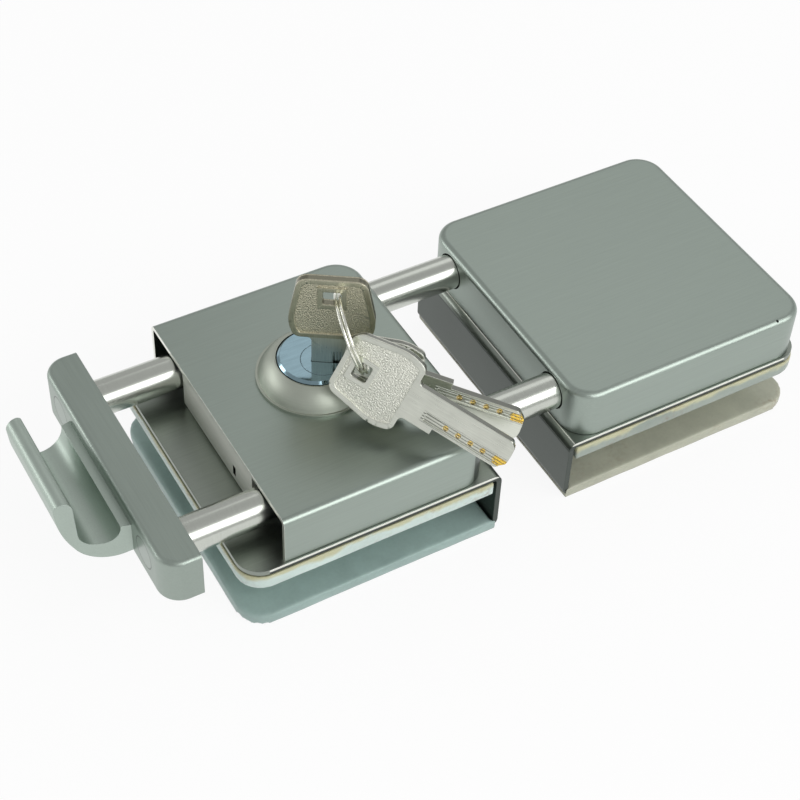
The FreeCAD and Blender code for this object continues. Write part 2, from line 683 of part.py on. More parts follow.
bracket_front = -(S.cover_front - S.bracket_setback)
bracket_back = bracket_front + S.bracket_sheet
bracket_toe = bracket_front + S.bracket_foot
bracket = solid_of("end_bracket", "XZ_Plane", [
    (bracket_front, cover_inside), (bracket_front, plate_high, S.bracket_bend + S.bracket_sheet),
    (bracket_toe, plate_high), (bracket_toe, plate_high + S.bracket_sheet),
    (bracket_back, plate_high + S.bracket_sheet, S.bracket_bend), (bracket_back, cover_inside)],
    (bolt_spread - S.bolt_radius - S.bracket_room) * 2, kind="Symmetric")
slot_middle = (-S.bracket_slot_place, plate_high + S.bracket_slot_rise)
slot_outline = new_sketch(bracket, "bracket_slot", "YZ_Plane", bracket_back)
draw_outline(slot_outline, rectangle(
    (slot_middle[0] - S.bracket_slot_width / 2, slot_middle[1] - S.bracket_slot_height / 2),
    (slot_middle[0] + S.bracket_slot_width / 2, slot_middle[1] + S.bracket_slot_height / 2)))
pocket(bracket, slot_outline, S.bracket_sheet)

# Bolts, stop pins, yoke and their screws

bolt_start = yoke_back - S.bolt_seat
stop_reach = cover_half - S.cover_sheet - S.stop_room
stop_pins = []
for hand in (-1, 1):
    inner_end = (bolt_spread + S.bolt_radius - S.stop_seat) * hand
    stop_pins.append(rod(f"stop_pin_{hand + 1}", S.stop_radius, (S.stop_place, inner_end, bolt_high),
                         stop_reach - inner_end * hand, (0, hand, 0)))


def bolt(name, hand, cutters):
    """A round bolt with a chamfered free end."""
    body = doc.addObject("PartDesign::Body", name + "_body")
    sketch = new_sketch(body, name + "_section", "YZ_Plane", bolt_start)
    draw_circle(sketch, (bolt_spread * hand, bolt_high), S.bolt_radius)
    pad(body, sketch, S.bolt_end - bolt_start)
    dress(body, "Chamfer", S.bolt_chamfer,
          lambda edge: near(edge.BoundBox.XMin, S.bolt_end) and near(edge.BoundBox.XMax, S.bolt_end))
    return less(name, body, cutters)


# The cam's tongue turns into one of three pockets in the near bolt
pockets = []
for number, travel in enumerate((S.travel_home, ZERO, -S.travel_back)):
    low = (-S.pocket_before - travel, S.pocket_floor - bolt_spread, cam_low - S.pocket_play)
    high = (S.pocket_behind - travel, -(bolt_spread - S.bolt_radius - PAST), cam_high + S.pocket_play)
    pockets.append(box(f"bolt_pocket_{number}", low, high))

near_bolt = bolt("near_bolt", -1, [stop_pins[0]] + pockets)
far_bolt = bolt("far_bolt", 1, [stop_pins[1]])

end_screws = [rod(f"end_screw_{hand + 1}", S.end_screw_radius, (yoke_front, bolt_spread * hand, bolt_high),
                  S.yoke_depth - S.bolt_seat, (1, 0, 0)) for hand in (-1, 1)]
pull_screws = []
for hand in (-1, 1):
    screw = countersunk(f"pull_screw_{hand + 1}", S.yoke_depth - S.screw_sink + S.pull_screw_reach,
                        (yoke_back, S.pull_screw_spread * hand, cover_high - S.pull_screw_drop))
    screw.Placement.Rotation = FreeCAD.Rotation(FreeCAD.Vector(0, 0, 1), FreeCAD.Vector(-1, 0, 0))
    pull_screws.append(screw)

yoke_low = plate_high + S.yoke_lift
yoke_body = solid_of("yoke_body", "XY_Plane", [
    (yoke_back, -cover_half), (yoke_back, cover_half),
    (yoke_front, cover_half, S.yoke_corner), (yoke_front, -cover_half, S.yoke_corner)],
    cover_high - yoke_low, yoke_low)
dress(yoke_body, "Fillet", S.yoke_edge, level_at(cover_high, yoke_back))
dress(yoke_body, "Fillet", S.yoke_foot, level_at(yoke_low, yoke_back))
seats = [rod(f"bolt_seat_{hand + 1}", S.bolt_radius, (bolt_start, bolt_spread * hand, bolt_high),
             S.bolt_seat, (1, 0, 0)) for hand in (-1, 1)]
yoke = less("yoke", yoke_body, seats + end_screws + pull_screws)


# Pull: a bent finger hook whose ends slant inwards

def out(distance):
    """A place on the pull, measured from the yoke."""
    return yoke_front - distance


def down(distance):
    """A height on the pull, measured from the cover's top."""
    return cover_high - distance


pull_section = solid_of("pull_section", "XZ_Plane", [
    (out(0), down(S.pull_root_top)), (out(S.pull_root_run), down(S.pull_root_top)),
    (out(S.pull_root_run), down(S.trough_depth), S.trough_near),
    (out(S.trough_run), down(S.trough_depth), S.trough_far),
    (out(S.lip_inner), down(-S.lip_rise), S.lip_radius), (out(S.lip_outer), down(-S.lip_rise), S.lip_radius),
    (out(S.heel_run), down(S.heel_drop), S.heel_radius),
    (out(S.belly_run), down(S.belly_drop), S.belly_radius), (out(0), down(S.pull_root_low))],
    S.pull_half * 2, kind="Symmetric")
pull_far = S.lip_outer + S.lip_radius
pull_tip_half = S.pull_half - pull_far * S.pull_slant
pull_plan = solid_of("pull_plan", "XY_Plane", [
    (out(0), -S.pull_half), (out(0), S.pull_half),
    (out(pull_far), pull_tip_half), (out(pull_far), -pull_tip_half)],
    S.lip_rise + S.cover_height, plate_high)
pull_whole = doc.addObject("Part::Common", "pull_whole")
pull_whole.Base = pull_section
pull_whole.Tool = pull_plan
hook_pull = less("hook_pull", pull_whole, pull_screws)


# Rosette, barrel and ring nut

def rosette_profile():
    """The rosette's cross-section, with its cone as one arc."""
    top = cover_high + S.rosette_height
    ledge = barrel_face - S.barrel_head_height
    shoulder = S.rosette_radius - S.rosette_step
    middle = (shoulder + S.rosette_top) / 2 + S.rosette_bulge
    middle_high = cover_high + (S.rosette_foot + S.rosette_height) / 2 + S.rosette_bulge
    return [(S.barrel_radius + S.barrel_play, cover_high), (S.rosette_radius, cover_high),
            (S.rosette_radius, cover_high + S.rosette_foot), (shoulder, cover_high + S.rosette_foot),
            (middle, middle_high, S.rosette_crown), (S.rosette_top, top), (S.rosette_bore, top),
            (S.rosette_bore, ledge), (S.barrel_radius + S.barrel_play, ledge)]


rosette = turned("rosette", rosette_profile(), barrel_axis)

barrel_shape = turned("barrel_shape", [
    (ZERO, barrel_low), (S.barrel_radius, barrel_low), (S.barrel_radius, barrel_face - S.barrel_head_height),
    (S.barrel_head, barrel_face - S.barrel_head_height), (S.barrel_head, barrel_face - S.barrel_chamfer),
    (S.barrel_head - S.barrel_chamfer, barrel_face), (ZERO, barrel_face)], barrel_axis)
ring_nut_low = cover_inside - S.ring_nut_height
ring_nut = turned("cylinder_nut", [
    (S.barrel_radius, ring_nut_low), (S.ring_nut_radius, ring_nut_low),
    (S.ring_nut_radius, cover_inside), (S.barrel_radius, cover_inside)], barrel_axis)


# Pins lie in a frame turned with the keyway: X along the blade's width, Y square to it

def pin_row(name, radius, start, length):
    """One rod per pin station, pointing away from the blade."""
    rods = []
    for station in range(int(S.pin_count.number)):
        height = barrel_face - S.pin_first - S.pin_pitch * station
        rods.append(rod(f"{name}_{station}", radius, (-S.pin_offset, start, height), length, (0, 1, 0)))
    return turn(together(name, rods), (0, 0, 1), S.keyway_angle)


spring_start = S.driver_start + S.driver_length
chamber_end = S.barrel_radius + S.chamber_reach
key_pins = pin_row("key_pins", S.pin_radius, S.pin_tip, S.key_pin_end - S.pin_tip)
driver_pins = pin_row("driver_pins", S.pin_radius, S.driver_start, S.driver_length)
pin_springs = pin_row("pin_springs", S.pin_radius - S.chamber_play * 2, spring_start,
                      chamber_end - spring_start)
plug_bores = pin_row("plug_bores", S.pin_radius + S.chamber_play, ZERO, S.plug_radius + PAST)
barrel_bores = pin_row("barrel_bores", S.pin_radius + S.chamber_play, S.plug_radius - PAST,
                       chamber_end - S.plug_radius + PAST)
plug_hole = rod("plug_hole", S.plug_radius + S.plug_play, (ZERO, ZERO, barrel_low - PAST),
                S.barrel_length + PAST * 2)
cylinder_body = less("cylinder_body", barrel_shape, [plug_hole, barrel_bores])

# Plug, with its tail, clip groove and keyway

plug_shape = turned("plug_shape", [
    (ZERO, tail_low), (S.plug_radius, tail_low), (S.plug_radius, clip_low), (S.clip_inner, clip_low),
    (S.clip_inner, clip_high), (S.plug_radius, clip_high), (S.plug_radius, barrel_face), (ZERO, barrel_face)])
keyway_start = S.key_shift - S.key_back - S.keyway_play
plug_past = S.plug_radius + PAST
flats = [box(f"tail_flat_{hand + 1}",
             (-plug_past, S.tail_flat if hand > 0 else -plug_past, tail_low - PAST),
             (plug_past, plug_past if hand > 0 else -S.tail_flat, barrel_low))
         for hand in (-1, 1)]
keyway = box("keyway", (keyway_start, -S.keyway_width / 2, tail_low - PAST),
             (plug_past, S.keyway_width / 2, barrel_face + PAST))
plug_cuts = turn(fused("plug_cuts", flats + [keyway]), (0, 0, 1), S.keyway_angle)
plug = less("plug", plug_shape, [plug_cuts, plug_bores])

# Cam: a hub that fits the tail's flats, with a tongue that rests pointing at the pull

cam_reach = bolt_spread - S.cam_short
cam_hub = rod("cam_disc", S.cam_hub, (ZERO, ZERO, cam_low), S.cam_sheet)
cam_tongue = box("cam_tongue", (-cam_reach, -S.cam_width / 2, cam_low), (ZERO, S.cam_width / 2, cam_high))
cam_limit = rod("cam_limit", cam_reach, (ZERO, ZERO, cam_low), S.cam_sheet)
cam_blank = doc.addObject("Part::Common", "cam_blank")
cam_blank.Base = fused("cam_form", [cam_hub, cam_tongue])
cam_blank.Tool = cam_limit
tail_round = rod("tail_round", S.plug_radius, (ZERO, ZERO, cam_low - PAST), S.cam_sheet + PAST * 2)
tail_across = box("tail_across", (-plug_past, -S.tail_flat, cam_low - PAST),
                  (plug_past, S.tail_flat, cam_high + PAST))
tail_block = doc.addObject("Part::Common", "tail_block")
tail_block.Base = tail_round
tail_block.Tool = tail_across
turn(tail_block, (0, 0, 1), S.keyway_angle)
cam = less("cam", cam_blank, [tail_block])

clip_disc = turned("clip_disc", [
    (S.clip_inner, clip_low), (S.clip_outer, clip_low), (S.clip_outer, clip_high), (S.clip_inner, clip_high)])
clip_mouth = box("clip_mouth", (ZERO, -S.clip_mouth / 2, clip_low - PAST),
                 (S.clip_outer + PAST, S.clip_mouth / 2, clip_high + PAST))
cam_clip = turn(less("cam_clip", clip_disc, [clip_mouth]), (0, 0, 1), S.keyway_angle)


# Keys: X runs from the end of the bow to the tip, Y across, Z through the thickness

key_length = S.key_shoulder + S.barrel_length + S.key_tip


def key(name):
    """One dimple key with its bow, ring hole, groove and dimples."""
    body = doc.addObject("PartDesign::Body", name)
    neck = S.key_front + S.key_step
    lower_lobe = S.bow_length
    blank = [
        (ZERO, -S.bow_end_half, S.bow_end_corner), (ZERO, S.bow_end_half, S.bow_end_corner),
        (S.bow_widest, S.bow_half, S.bow_side_corner), (lower_lobe, S.bow_lobe, S.bow_lobe_corner),
        (lower_lobe, neck, S.neck_corner), (S.key_shoulder, neck), (S.key_shoulder, S.key_front),
        (key_length - S.tip_cut_front, S.key_front, S.tip_round),
        (key_length, S.key_front - S.tip_cut_front, S.tip_round),
        (key_length, -S.key_back + S.tip_cut_back, S.tip_round),
        (key_length - S.tip_cut_back, -S.key_back, S.tip_round),
        (lower_lobe, -S.key_back, S.neck_corner), (lower_lobe, -S.bow_lobe, S.bow_lobe_corner),
        (S.bow_widest, -S.bow_half, S.bow_side_corner)]
    pad(body, draw_outline(new_sketch(body, name + "_blank", "XY_Plane"), blank), S.key_sheet, "Symmetric")
    hole_far = S.hole_near + S.hole_length
    hole = new_sketch(body, name + "_hole", "XY_Plane")
    hole_half = S.hole_width / 2
    draw_outline(hole, rectangle((S.hole_near, -hole_half), (hole_far, hole_half), S.hole_corner))
    pocket(body, hole, S.key_sheet * 2, "Symmetric")
    for face, sign in (("front", 1), ("back", -1)):
        level = S.key_sheet / 2 * sign
        field = new_sketch(body, f"{name}_{face}_field", "XY_Plane", level)
        rim = S.bow_rim
        end, side, lobe = S.bow_end_corner - rim, S.bow_side_corner - rim, S.bow_lobe_corner - rim
        draw_outline(field, [
            (rim, -S.bow_end_half + rim, end), (rim, S.bow_end_half - rim, end),
            (S.bow_widest, S.bow_half - rim, side), (lower_lobe - rim, S.bow_lobe - rim, lobe),
            (lower_lobe - rim, -S.bow_lobe + rim, lobe), (S.bow_widest, -S.bow_half + rim, side)])
        land = S.hole_land
        draw_outline(field, rectangle((S.hole_near - land, -hole_half - land),
                                      (hole_far + land, hole_half + land)))
        pocket(body, field, S.bow_sink, backwards=sign < 0)
        middle = S.key_front - S.groove_place
        if sign < 0:
            middle = -S.key_back + S.groove_place
        groove = new_sketch(body, f"{name}_{face}_groove", "XY_Plane", level)
        draw_outline(groove, rectangle(
            (S.key_shoulder - S.groove_ahead, middle - S.groove_width / 2),
            (key_length + PAST, middle + S.groove_width / 2)))
        pocket(body, groove, S.groove_depth, backwards=sign < 0)
        dimples = new_sketch(body, f"{name}_{face}_dimples", "XY_Plane", level)
        for station in range(int(S.pin_count.number)):
            place = S.key_shoulder + S.pin_first + S.pin_pitch * station
            draw_circle(dimples, (place, middle), S.dimple_radius)
        pocket(body, dimples, S.groove_depth + S.dimple_depth, backwards=sign < 0)
    return body


def pose(piece, origin, along, across):
    """Lay a piece's X along one direction and its Y along another."""
    x_axis = FreeCAD.Vector(*along).normalize()
    z_axis = x_axis.cross(FreeCAD.Vector(*across)).normalize()
    y_axis = z_axis.cross(x_axis)
    piece.Placement.Rotation = FreeCAD.Rotation(x_axis, y_axis, z_axis, "XYZ")
    return move(piece, *origin)


keyway_turn = math.radians(S.keyway_angle.number)
keyway_across = (math.cos(keyway_turn), math.sin(keyway_turn), 0)
inserted_key = pose(key("inserted_key"), (
    Size(S.key_shift.number * keyway_across[0], "sizes.key_shift * cos(sizes.keyway_angle * 1deg)"),
    Size(S.key_shift.number * keyway_across[1], "sizes.key_shift * sin(sizes.keyway_angle * 1deg)"),
    barrel_face + S.key_shoulder), (0, 0, -1), keyway_across)
loose_key_front = pose(key("loose_key_front"), (S.front_key_x, S.front_key_y, cover_high + S.front_key_rise),
                       (0.561, -0.763, -0.321), (-0.508, -0.011, -0.861))
loose_key_back = pose(key("loose_key_back"), (S.back_key_x, S.back_key_y, cover_high + S.back_key_rise),
                      (0.741, -0.629, -0.236), (0.349, 0.06, 0.935))

# Key ring: two turns of wire side by side, eight-sided to keep its faces few

WIRE_SIDES = 8
key_ring = doc.addObject("PartDesign::Body", "key_ring")
wire_section = new_sketch(key_ring, "wire_section", "XZ_Plane")
draw_polygon(wire_section, (S.ring_radius, -S.ring_pitch), S.ring_wire, WIRE_SIDES)
winding = key_ring.newObject("PartDesign::AdditiveHelix", "winding")
winding.Profile = wire_section
winding.ReferenceAxis = (wire_section, ["V_Axis"])
winding.Mode = "pitch-turns-angle"
bind(winding, "Pitch", S.ring_pitch)
bind(winding, "Turns", S.ring_turns)
pose(key_ring, (S.ring_x, S.ring_y, cover_high + S.ring_rise), (0.459, 0.741, -0.488), (-0.066, 0.577, 0.813))


# The nodes, each written to its own file

NODES = {
    "case_frame": case["frame"], "case_cover": case_cover, "end_bracket": bracket,
    "front_guide_blocks": front_guides, "rear_guide_blocks": rear_guides,
    "case_posts": case["posts"], "case_post_screws": case["post_screws"], "rosette": rosette,
    "cylinder_body": cylinder_body, "cylinder_nut": ring_nut, "driver_pins": driver_pins,
    "pin_springs": pin_springs, "case_pressure_plate": case["pressure_plate"],
    "case_upper_pad": case["upper_pad"], "case_lower_pad": case["lower_pad"],
    "case_grub_screws": case["grub_screws"], "case_clinch_nuts": case["clinch_nuts"],
    "yoke": yoke, "near_bolt": near_bolt, "far_bolt": far_bolt, "hook_pull": hook_pull,
    "bolt_end_screws": together("bolt_end_screws", end_screws),
    "pull_screws": together("pull_screws", pull_screws), "stop_pins": together("stop_pins", stop_pins),
    "plug": plug, "cam": cam, "cam_clip": cam_clip, "key_pins": key_pins,
    "inserted_key": inserted_key, "key_ring": key_ring,
    "loose_key_front": loose_key_front, "loose_key_back": loose_key_back,
    "keeper_frame": keeper["frame"], "keeper_lid": keeper_lid, "keeper_guide_blocks": keeper_guides,
    "keeper_posts": keeper["posts"], "keeper_post_screws": keeper["post_screws"],
    "keeper_pressure_plate": keeper["pressure_plate"], "keeper_upper_pad": keeper["upper_pad"],
    "keeper_lower_pad": keeper["lower_pad"], "keeper_grub_screws": keeper["grub_screws"],
    "keeper_clinch_nuts": keeper["clinch_nuts"],
}

doc.recompute()
for item in doc.Objects:
    wrong = [word for word in item.State if word in ("Invalid", "Error")]
    if wrong:
        raise RuntimeError(f"{item.Name} is {wrong}: {item.getStatusString()}")
for name, piece in NODES.items():
    piece.Label = name
    if piece.Shape.isNull() or not piece.Shape.isValid() or not piece.Shape.Solids:
        raise RuntimeError(f"{name} has no valid solid")

os.makedirs("parts", exist_ok=True)
for name, piece in NODES.items():
    piece.Shape.exportStep(f"parts/{name}.step")
    print(name, len(piece.Shape.Solids), round(piece.Shape.Volume, 1))
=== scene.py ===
"""Finishes, fine pieces and studio of a glass door lock, laid out as a Blender add-on."""

import json
import math

import bmesh
import bpy
from mathutils import Matrix, Vector, noise

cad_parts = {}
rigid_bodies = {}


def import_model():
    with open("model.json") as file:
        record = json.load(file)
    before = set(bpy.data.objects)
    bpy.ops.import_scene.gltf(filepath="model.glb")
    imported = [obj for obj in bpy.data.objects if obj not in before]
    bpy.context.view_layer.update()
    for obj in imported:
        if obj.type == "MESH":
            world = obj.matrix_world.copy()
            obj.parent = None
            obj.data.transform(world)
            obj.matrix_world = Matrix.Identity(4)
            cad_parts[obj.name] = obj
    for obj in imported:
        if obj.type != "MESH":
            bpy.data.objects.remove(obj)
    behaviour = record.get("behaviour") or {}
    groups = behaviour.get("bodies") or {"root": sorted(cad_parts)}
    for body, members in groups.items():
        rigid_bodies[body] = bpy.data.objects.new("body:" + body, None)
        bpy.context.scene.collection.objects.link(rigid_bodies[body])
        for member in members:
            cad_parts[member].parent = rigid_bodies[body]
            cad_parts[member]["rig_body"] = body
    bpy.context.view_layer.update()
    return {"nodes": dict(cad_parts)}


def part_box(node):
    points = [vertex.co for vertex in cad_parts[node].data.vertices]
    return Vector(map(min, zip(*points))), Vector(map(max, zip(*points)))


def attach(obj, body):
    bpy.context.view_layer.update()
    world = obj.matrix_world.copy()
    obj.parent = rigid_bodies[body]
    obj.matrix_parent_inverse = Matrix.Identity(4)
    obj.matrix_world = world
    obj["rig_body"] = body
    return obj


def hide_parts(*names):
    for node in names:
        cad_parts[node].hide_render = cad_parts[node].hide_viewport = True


bl_info = {
    "name": "Glass door lock",
    "version": (1, 0, 0),
    "blender": (4, 5, 0),
    "location": "View3D > Sidebar > Door lock",
    "description": "Finishes and fine pieces of a glass door lock, with its studio",
    "category": "Object",
}

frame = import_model()
MM = 0.001

# Margins: points that merge, places that count as one, and how deep a face reaches in a finish's tests

MERGE_REACH = 0.001 * MM
SAME_PLACE = 0.01 * MM
FACE_SKIN = 0.05 * MM


# Settings that a user would change

def linear(red, green, blue):
    """A colour written as screen values from 0 to 255, turned into the linear values of a shader."""
    shares = [value / 255 for value in (red, green, blue)]
    return tuple(share / 12.92 if share <= 0.04045 else ((share + 0.055) / 1.055) ** 2.4 for share in shares)


def colour_setting(name, description, red, green, blue):
    return bpy.props.FloatVectorProperty(
        name=name, description=description, subtype="COLOR", size=3, min=0, max=1,
        default=linear(red, green, blue))


def length_setting(name, description, default):
    return bpy.props.FloatProperty(
        name=name, description=description, subtype="DISTANCE", unit="LENGTH", min=0, precision=5,
        default=default)


def turns_setting(name, description, default):
    return bpy.props.FloatProperty(name=name, description=description, min=1, max=9, default=default)


def angle_setting(name, description, degrees):
    return bpy.props.FloatProperty(
        name=name, description=description, subtype="ANGLE", default=math.radians(degrees))


def power_setting(name, description, default):
    return bpy.props.FloatProperty(
        name=name, description=description, subtype="POWER", unit="POWER", min=0, default=default)


class LockColours(bpy.types.PropertyGroup):
    """Colours of the lock's finishes."""

    steel: colour_setting("Satin steel", "Brushed steel of cover, lid, yoke and pull", 161, 172, 164)
    # This colour also paints the highlights on the frames' rims and on the keeper's ledge, and lightens the
    # cover's cut end face as a painted highlight
    steel_light: colour_setting("Cut steel", "Cut edges of the sheet, and the end bracket", 236, 238, 230)
    frame_steel: colour_setting("Frame steel", "Bent sheet and pressure plates of the clamps", 146, 153, 145)
    bolt: colour_setting("Bolt steel", "Ground steel of the two bolts", 204, 208, 200)
    rosette: colour_setting("Rosette", "Spun steel of the rosette", 184, 190, 178)
    barrel: colour_setting("Barrel chrome", "Polished face of the lock barrel", 140, 166, 176)
    zinc: colour_setting("Zinc", "Screws, nuts, posts, cam and pin springs", 178, 182, 184)
    brass: colour_setting("Brass", "Pins and ring nut of the cylinder", 198, 168, 104)
    key: colour_setting("Key nickel", "Plain parts of the keys", 222, 225, 214)
    key_grain: colour_setting("Key field", "Cast field of the key bows, and the ring", 248, 249, 237)
    gold: colour_setting("Gold", "Dimples and tip cut of the keys", 255, 216, 96)
    pale_rubber: colour_setting("Pale rubber", "Upper pad of the lock case", 206, 223, 217)
    grey_rubber: colour_setting("Grey rubber", "Upper pad of the keeper", 152, 163, 154)
    yellowed: colour_setting("Yellowed rubber", "Aged upper skin of the upper pads", 190, 190, 156)
    milky_rubber: colour_setting("Milky rubber", "Lower pad of the lock case", 157, 179, 174)
    cream_rubber: colour_setting("Cream rubber", "Lower pad of the keeper", 182, 184, 166)
    rust: colour_setting("Rust", "Stains on the pads", 128, 84, 40)
    floor: colour_setting("Floor", "Plain pale floor", 250, 250, 250)


class LockSizes(bpy.types.PropertyGroup):
    """Sizes of the pieces that are made here and of the grain in the finishes."""

    grain: length_setting("Brushing width", "Width of a brushed line", 0.42 * MM)
    grain_run: length_setting("Brushing run", "Length of a brushed line", 26 * MM)
    cast_grain: length_setting("Cast grain", "Size of the bows' cast grain", 0.42 * MM)
    ring_radius: length_setting("Ring radius", "Middle radius of the key ring", 10.78 * MM)
    ring_wire: length_setting("Ring wire", "Half thickness of the key ring's wire", 0.42 * MM)
    ring_pitch: length_setting("Ring pitch", "Distance between the key ring's turns", 1.0 * MM)
    ring_turns: turns_setting("Ring turns", "Turns of the key ring", 1.95)
    spring_wire: length_setting("Spring wire", "Half thickness of the pin springs' wire", 0.12 * MM)
    spring_turns: turns_setting("Spring turns", "Turns of each pin spring", 4.5)
    pad_voxel: length_setting("Pad fineness", "Mesh size of the rubber pads", 0.6 * MM)
    pad_wave: length_setting("Pad wave", "How far the rubber's surface sinks at most", 0.22 * MM)


class LockStage(bpy.types.PropertyGroup):
    """Camera, lamps and floor."""

    eye: bpy.props.FloatVectorProperty(
        name="Camera place", description="Where the camera stands", subtype="TRANSLATION", unit="LENGTH",
        size=3, default=(-155.229 * MM, -291.31 * MM, 374.994 * MM))
    azimuth: angle_setting("Azimuth", "Turn of the camera about the vertical", -31.602)
    elevation: angle_setting("Elevation", "Height angle of the camera", 46.363)
    roll: angle_setting("Roll", "Turn of the camera about its own line of sight", 2.829)
    lens: bpy.props.FloatProperty(
        name="Lens", description="Focal length", subtype="DISTANCE_CAMERA", min=10, default=80.992)
    back: power_setting("Back lamp", "Power of the lamp above the far side", 0.9)
    front: power_setting("Front lamp", "Power of the wide lamp at the front", 10.0)
    side: power_setting("Side lamp", "Power of the long lamp at the side", 2.4)
    sky: bpy.props.FloatProperty(
        name="Room light", description="Strength of the light from all round", subtype="FACTOR",
        min=0, max=2, default=0.52)
    floor_size: length_setting("Floor size", "Side of the square floor", 6.0)


# Node graphs, for materials and for geometry

class Reading:
    """A number that varies over a surface; Python's operators on it add Math nodes."""

    def __init__(self, graph, socket):
        self.graph = graph
        self.socket = socket

    def maths(self, operation, *values, clamp=False):
        settings = {"operation": operation, "use_clamp": clamp}
        node = self.graph.add("ShaderNodeMath", settings, dict(enumerate(values)))
        return Reading(self.graph, node.outputs[0])

    def __add__(self, other):
        return self.maths("ADD", self, other)

    def __sub__(self, other):
        return self.maths("SUBTRACT", self, other)

    def __mul__(self, other):
        return self.maths("MULTIPLY", self, other)

    def __rsub__(self, other):
        return self.maths("SUBTRACT", other, self)

    __radd__ = __add__
    __rmul__ = __mul__

    def __abs__(self):
        return self.maths("ABSOLUTE", self)

    def __gt__(self, other):
        return self.maths("GREATER_THAN", self, other)

    def __lt__(self, other):
        return self.maths("LESS_THAN", self, other)

    def ramp(self, low, high):
        """0 below low, 1 above high, and straight between them."""
        return self.maths("MULTIPLY_ADD", self, 1 / (high - low), -low / (high - low), clamp=True)

    def fold(self, step):
        """Distance to the nearest whole multiple of a step."""
        return self.maths("PINGPONG", self, step / 2)

    def lower(self, other):
        return self.maths("MINIMUM", self, other)

    def higher(self, other):
        return self.maths("MAXIMUM", self, other)

    def root(self):
        return self.maths("SQRT", self)


def away(first, second):
    """The distance that two readings at right angles make together."""
    return (first * first + second * second).root()


def mottled(*parts):
    """A tone about one half, to which each noise adds its share."""
    return sum(((reading - 0.5) * share for reading, share in parts), 0.5)


def toned(colour, share):
    """A colour made darker by a share below 1, or lighter by one above 1."""
    return tuple(min(1, value * share) for value in colour)


def tinted(colour, tint):
    """A colour with a share of its own for each of red, green and blue."""
    return tuple(value * share for value, share in zip(colour, tint))


class Graph:
    """A node tree to which nodes are added by type, settings and inputs."""

    def __init__(self, tree):
        self.tree = tree

    def feed(self, socket, value):
        if isinstance(value, Reading):
            value = value.socket
        if isinstance(value, bpy.types.NodeSocket):
            self.tree.links.new(value, socket)
        elif getattr(socket, "type", "") == "RGBA" and len(value) == 3:
            socket.default_value = (*value, 1)
        else:
            socket.default_value = value

    def add(self, kind, settings=None, inputs=None):
        node = self.tree.nodes.new(kind)
        for name, value in (settings or {}).items():
            setattr(node, name, value)
        for name, value in (inputs or {}).items():
            self.feed(node.inputs[name], value)
        return node


class Finish(Graph):
    """A material with one Principled shader, read in object coordinates."""

    def __init__(self, name, **constants):
        self.material = bpy.data.materials.new(name)
        self.material.use_nodes = True
        super().__init__(self.material.node_tree)
        self.tree.nodes.clear()
        self.shader = self.add("ShaderNodeBsdfPrincipled")
        self.show(**constants)
        self.add("ShaderNodeOutputMaterial", None, {"Surface": self.shader.outputs[0]})
        self.place = self.add("ShaderNodeTexCoord").outputs["Object"]

    def show(self, **inputs):
        """Feed the shader's sockets."""
        for name, value in inputs.items():
            self.feed(self.shader.inputs[name.replace("_", " ").title()], value)

    def axes(self, spot=None):
        """The three coordinates of a spot, or of the object, as readings."""
        parts = self.add("ShaderNodeSeparateXYZ", None, {0: spot or self.place})
        return [Reading(self, output) for output in parts.outputs]

    def spot(self, *axes):
        """A spot made from three readings or numbers."""
        return self.add("ShaderNodeCombineXYZ", None, dict(enumerate(axes))).outputs[0]

    def turned_into(self, origin, turning):
        """Object coordinates seen from a frame of the piece's own."""
        return self.add("ShaderNodeMapping", {"vector_type": "TEXTURE"}, {
            "Vector": self.place, "Location": origin, "Rotation": turning.to_euler("XYZ")}).outputs[0]

    def grain(self, sizes, spot=None, detail=2.0, seed=0.0):
        """Noise from 0 to 1, with the size of its spots along each axis."""
        if isinstance(sizes, (int, float)):
            sizes = (sizes,) * 3
        mapped = self.add("ShaderNodeMapping", None, {
            "Vector": spot or self.place, "Scale": [1 / size for size in sizes], "Location": (seed,) * 3})
        texture = self.add("ShaderNodeTexNoise", None, {
            "Vector": mapped.outputs[0], "Scale": 1.0, "Detail": detail})
        return Reading(self, texture.outputs[0])

    def blend(self, share, first, second):
        """A colour between two colours."""
        mix = self.add("ShaderNodeMix", {"data_type": "RGBA"}, {0: share, 6: first, 7: second})
        return mix.outputs[2]

    def shaded(self, share, colour, low, high):
        """A colour between two tones of itself."""
        return self.blend(share, toned(colour, low), toned(colour, high))

    def bump(self, height, depth, edge=0.22 * MM):
        """A normal that follows a height from 0 to 1 over a depth and softens sharp edges."""
        eased = self.add("ShaderNodeBevel", {"samples": 4}, {"Radius": edge})
        bump = self.add("ShaderNodeBump", None, {
            "Height": height, "Distance": depth, "Strength": 1.0, "Normal": eased.outputs[0]})
        return bump.outputs[0]


# Finishes; the rubber's aged skin has a lower edge that wanders and is blurred

SKIN_WANDER = 5 * MM
SKIN_BLUR = 0.6 * MM


def satin_steel(name, colour, roughness=0.36, run_along="X", patches=()):
    """Brushed stainless sheet; each patch is a test that is 1 on it, and its colour."""
    sizes = bpy.context.scene.lock_sizes
    finish = Finish(name, metallic=1.0)
    fine = [sizes.grain] * 3
    fine["XYZ".index(run_along)] = sizes.grain_run
    lines = finish.grain(fine, detail=3.0)
    hair = finish.grain([size / 3 for size in fine], detail=1.0, seed=7.0)
    cloud = finish.grain(24 * MM, seed=3.0)
    tone = mottled((lines, 0.55), (hair, 0.3), (cloud, 0.25))
    sheet = finish.shaded(tone.ramp(0.1, 0.9), colour, 0.84, 1.14)
    for test, patch_colour in patches:
        sheet = finish.blend(test(*finish.axes()), sheet, patch_colour)
    finish.show(base_color=sheet, roughness=roughness + (lines - 0.5) * 0.16 + (cloud - 0.5) * 0.08,
                normal=finish.bump(lines * 0.7 + hair * 0.3, 0.006 * MM))
    return finish.material


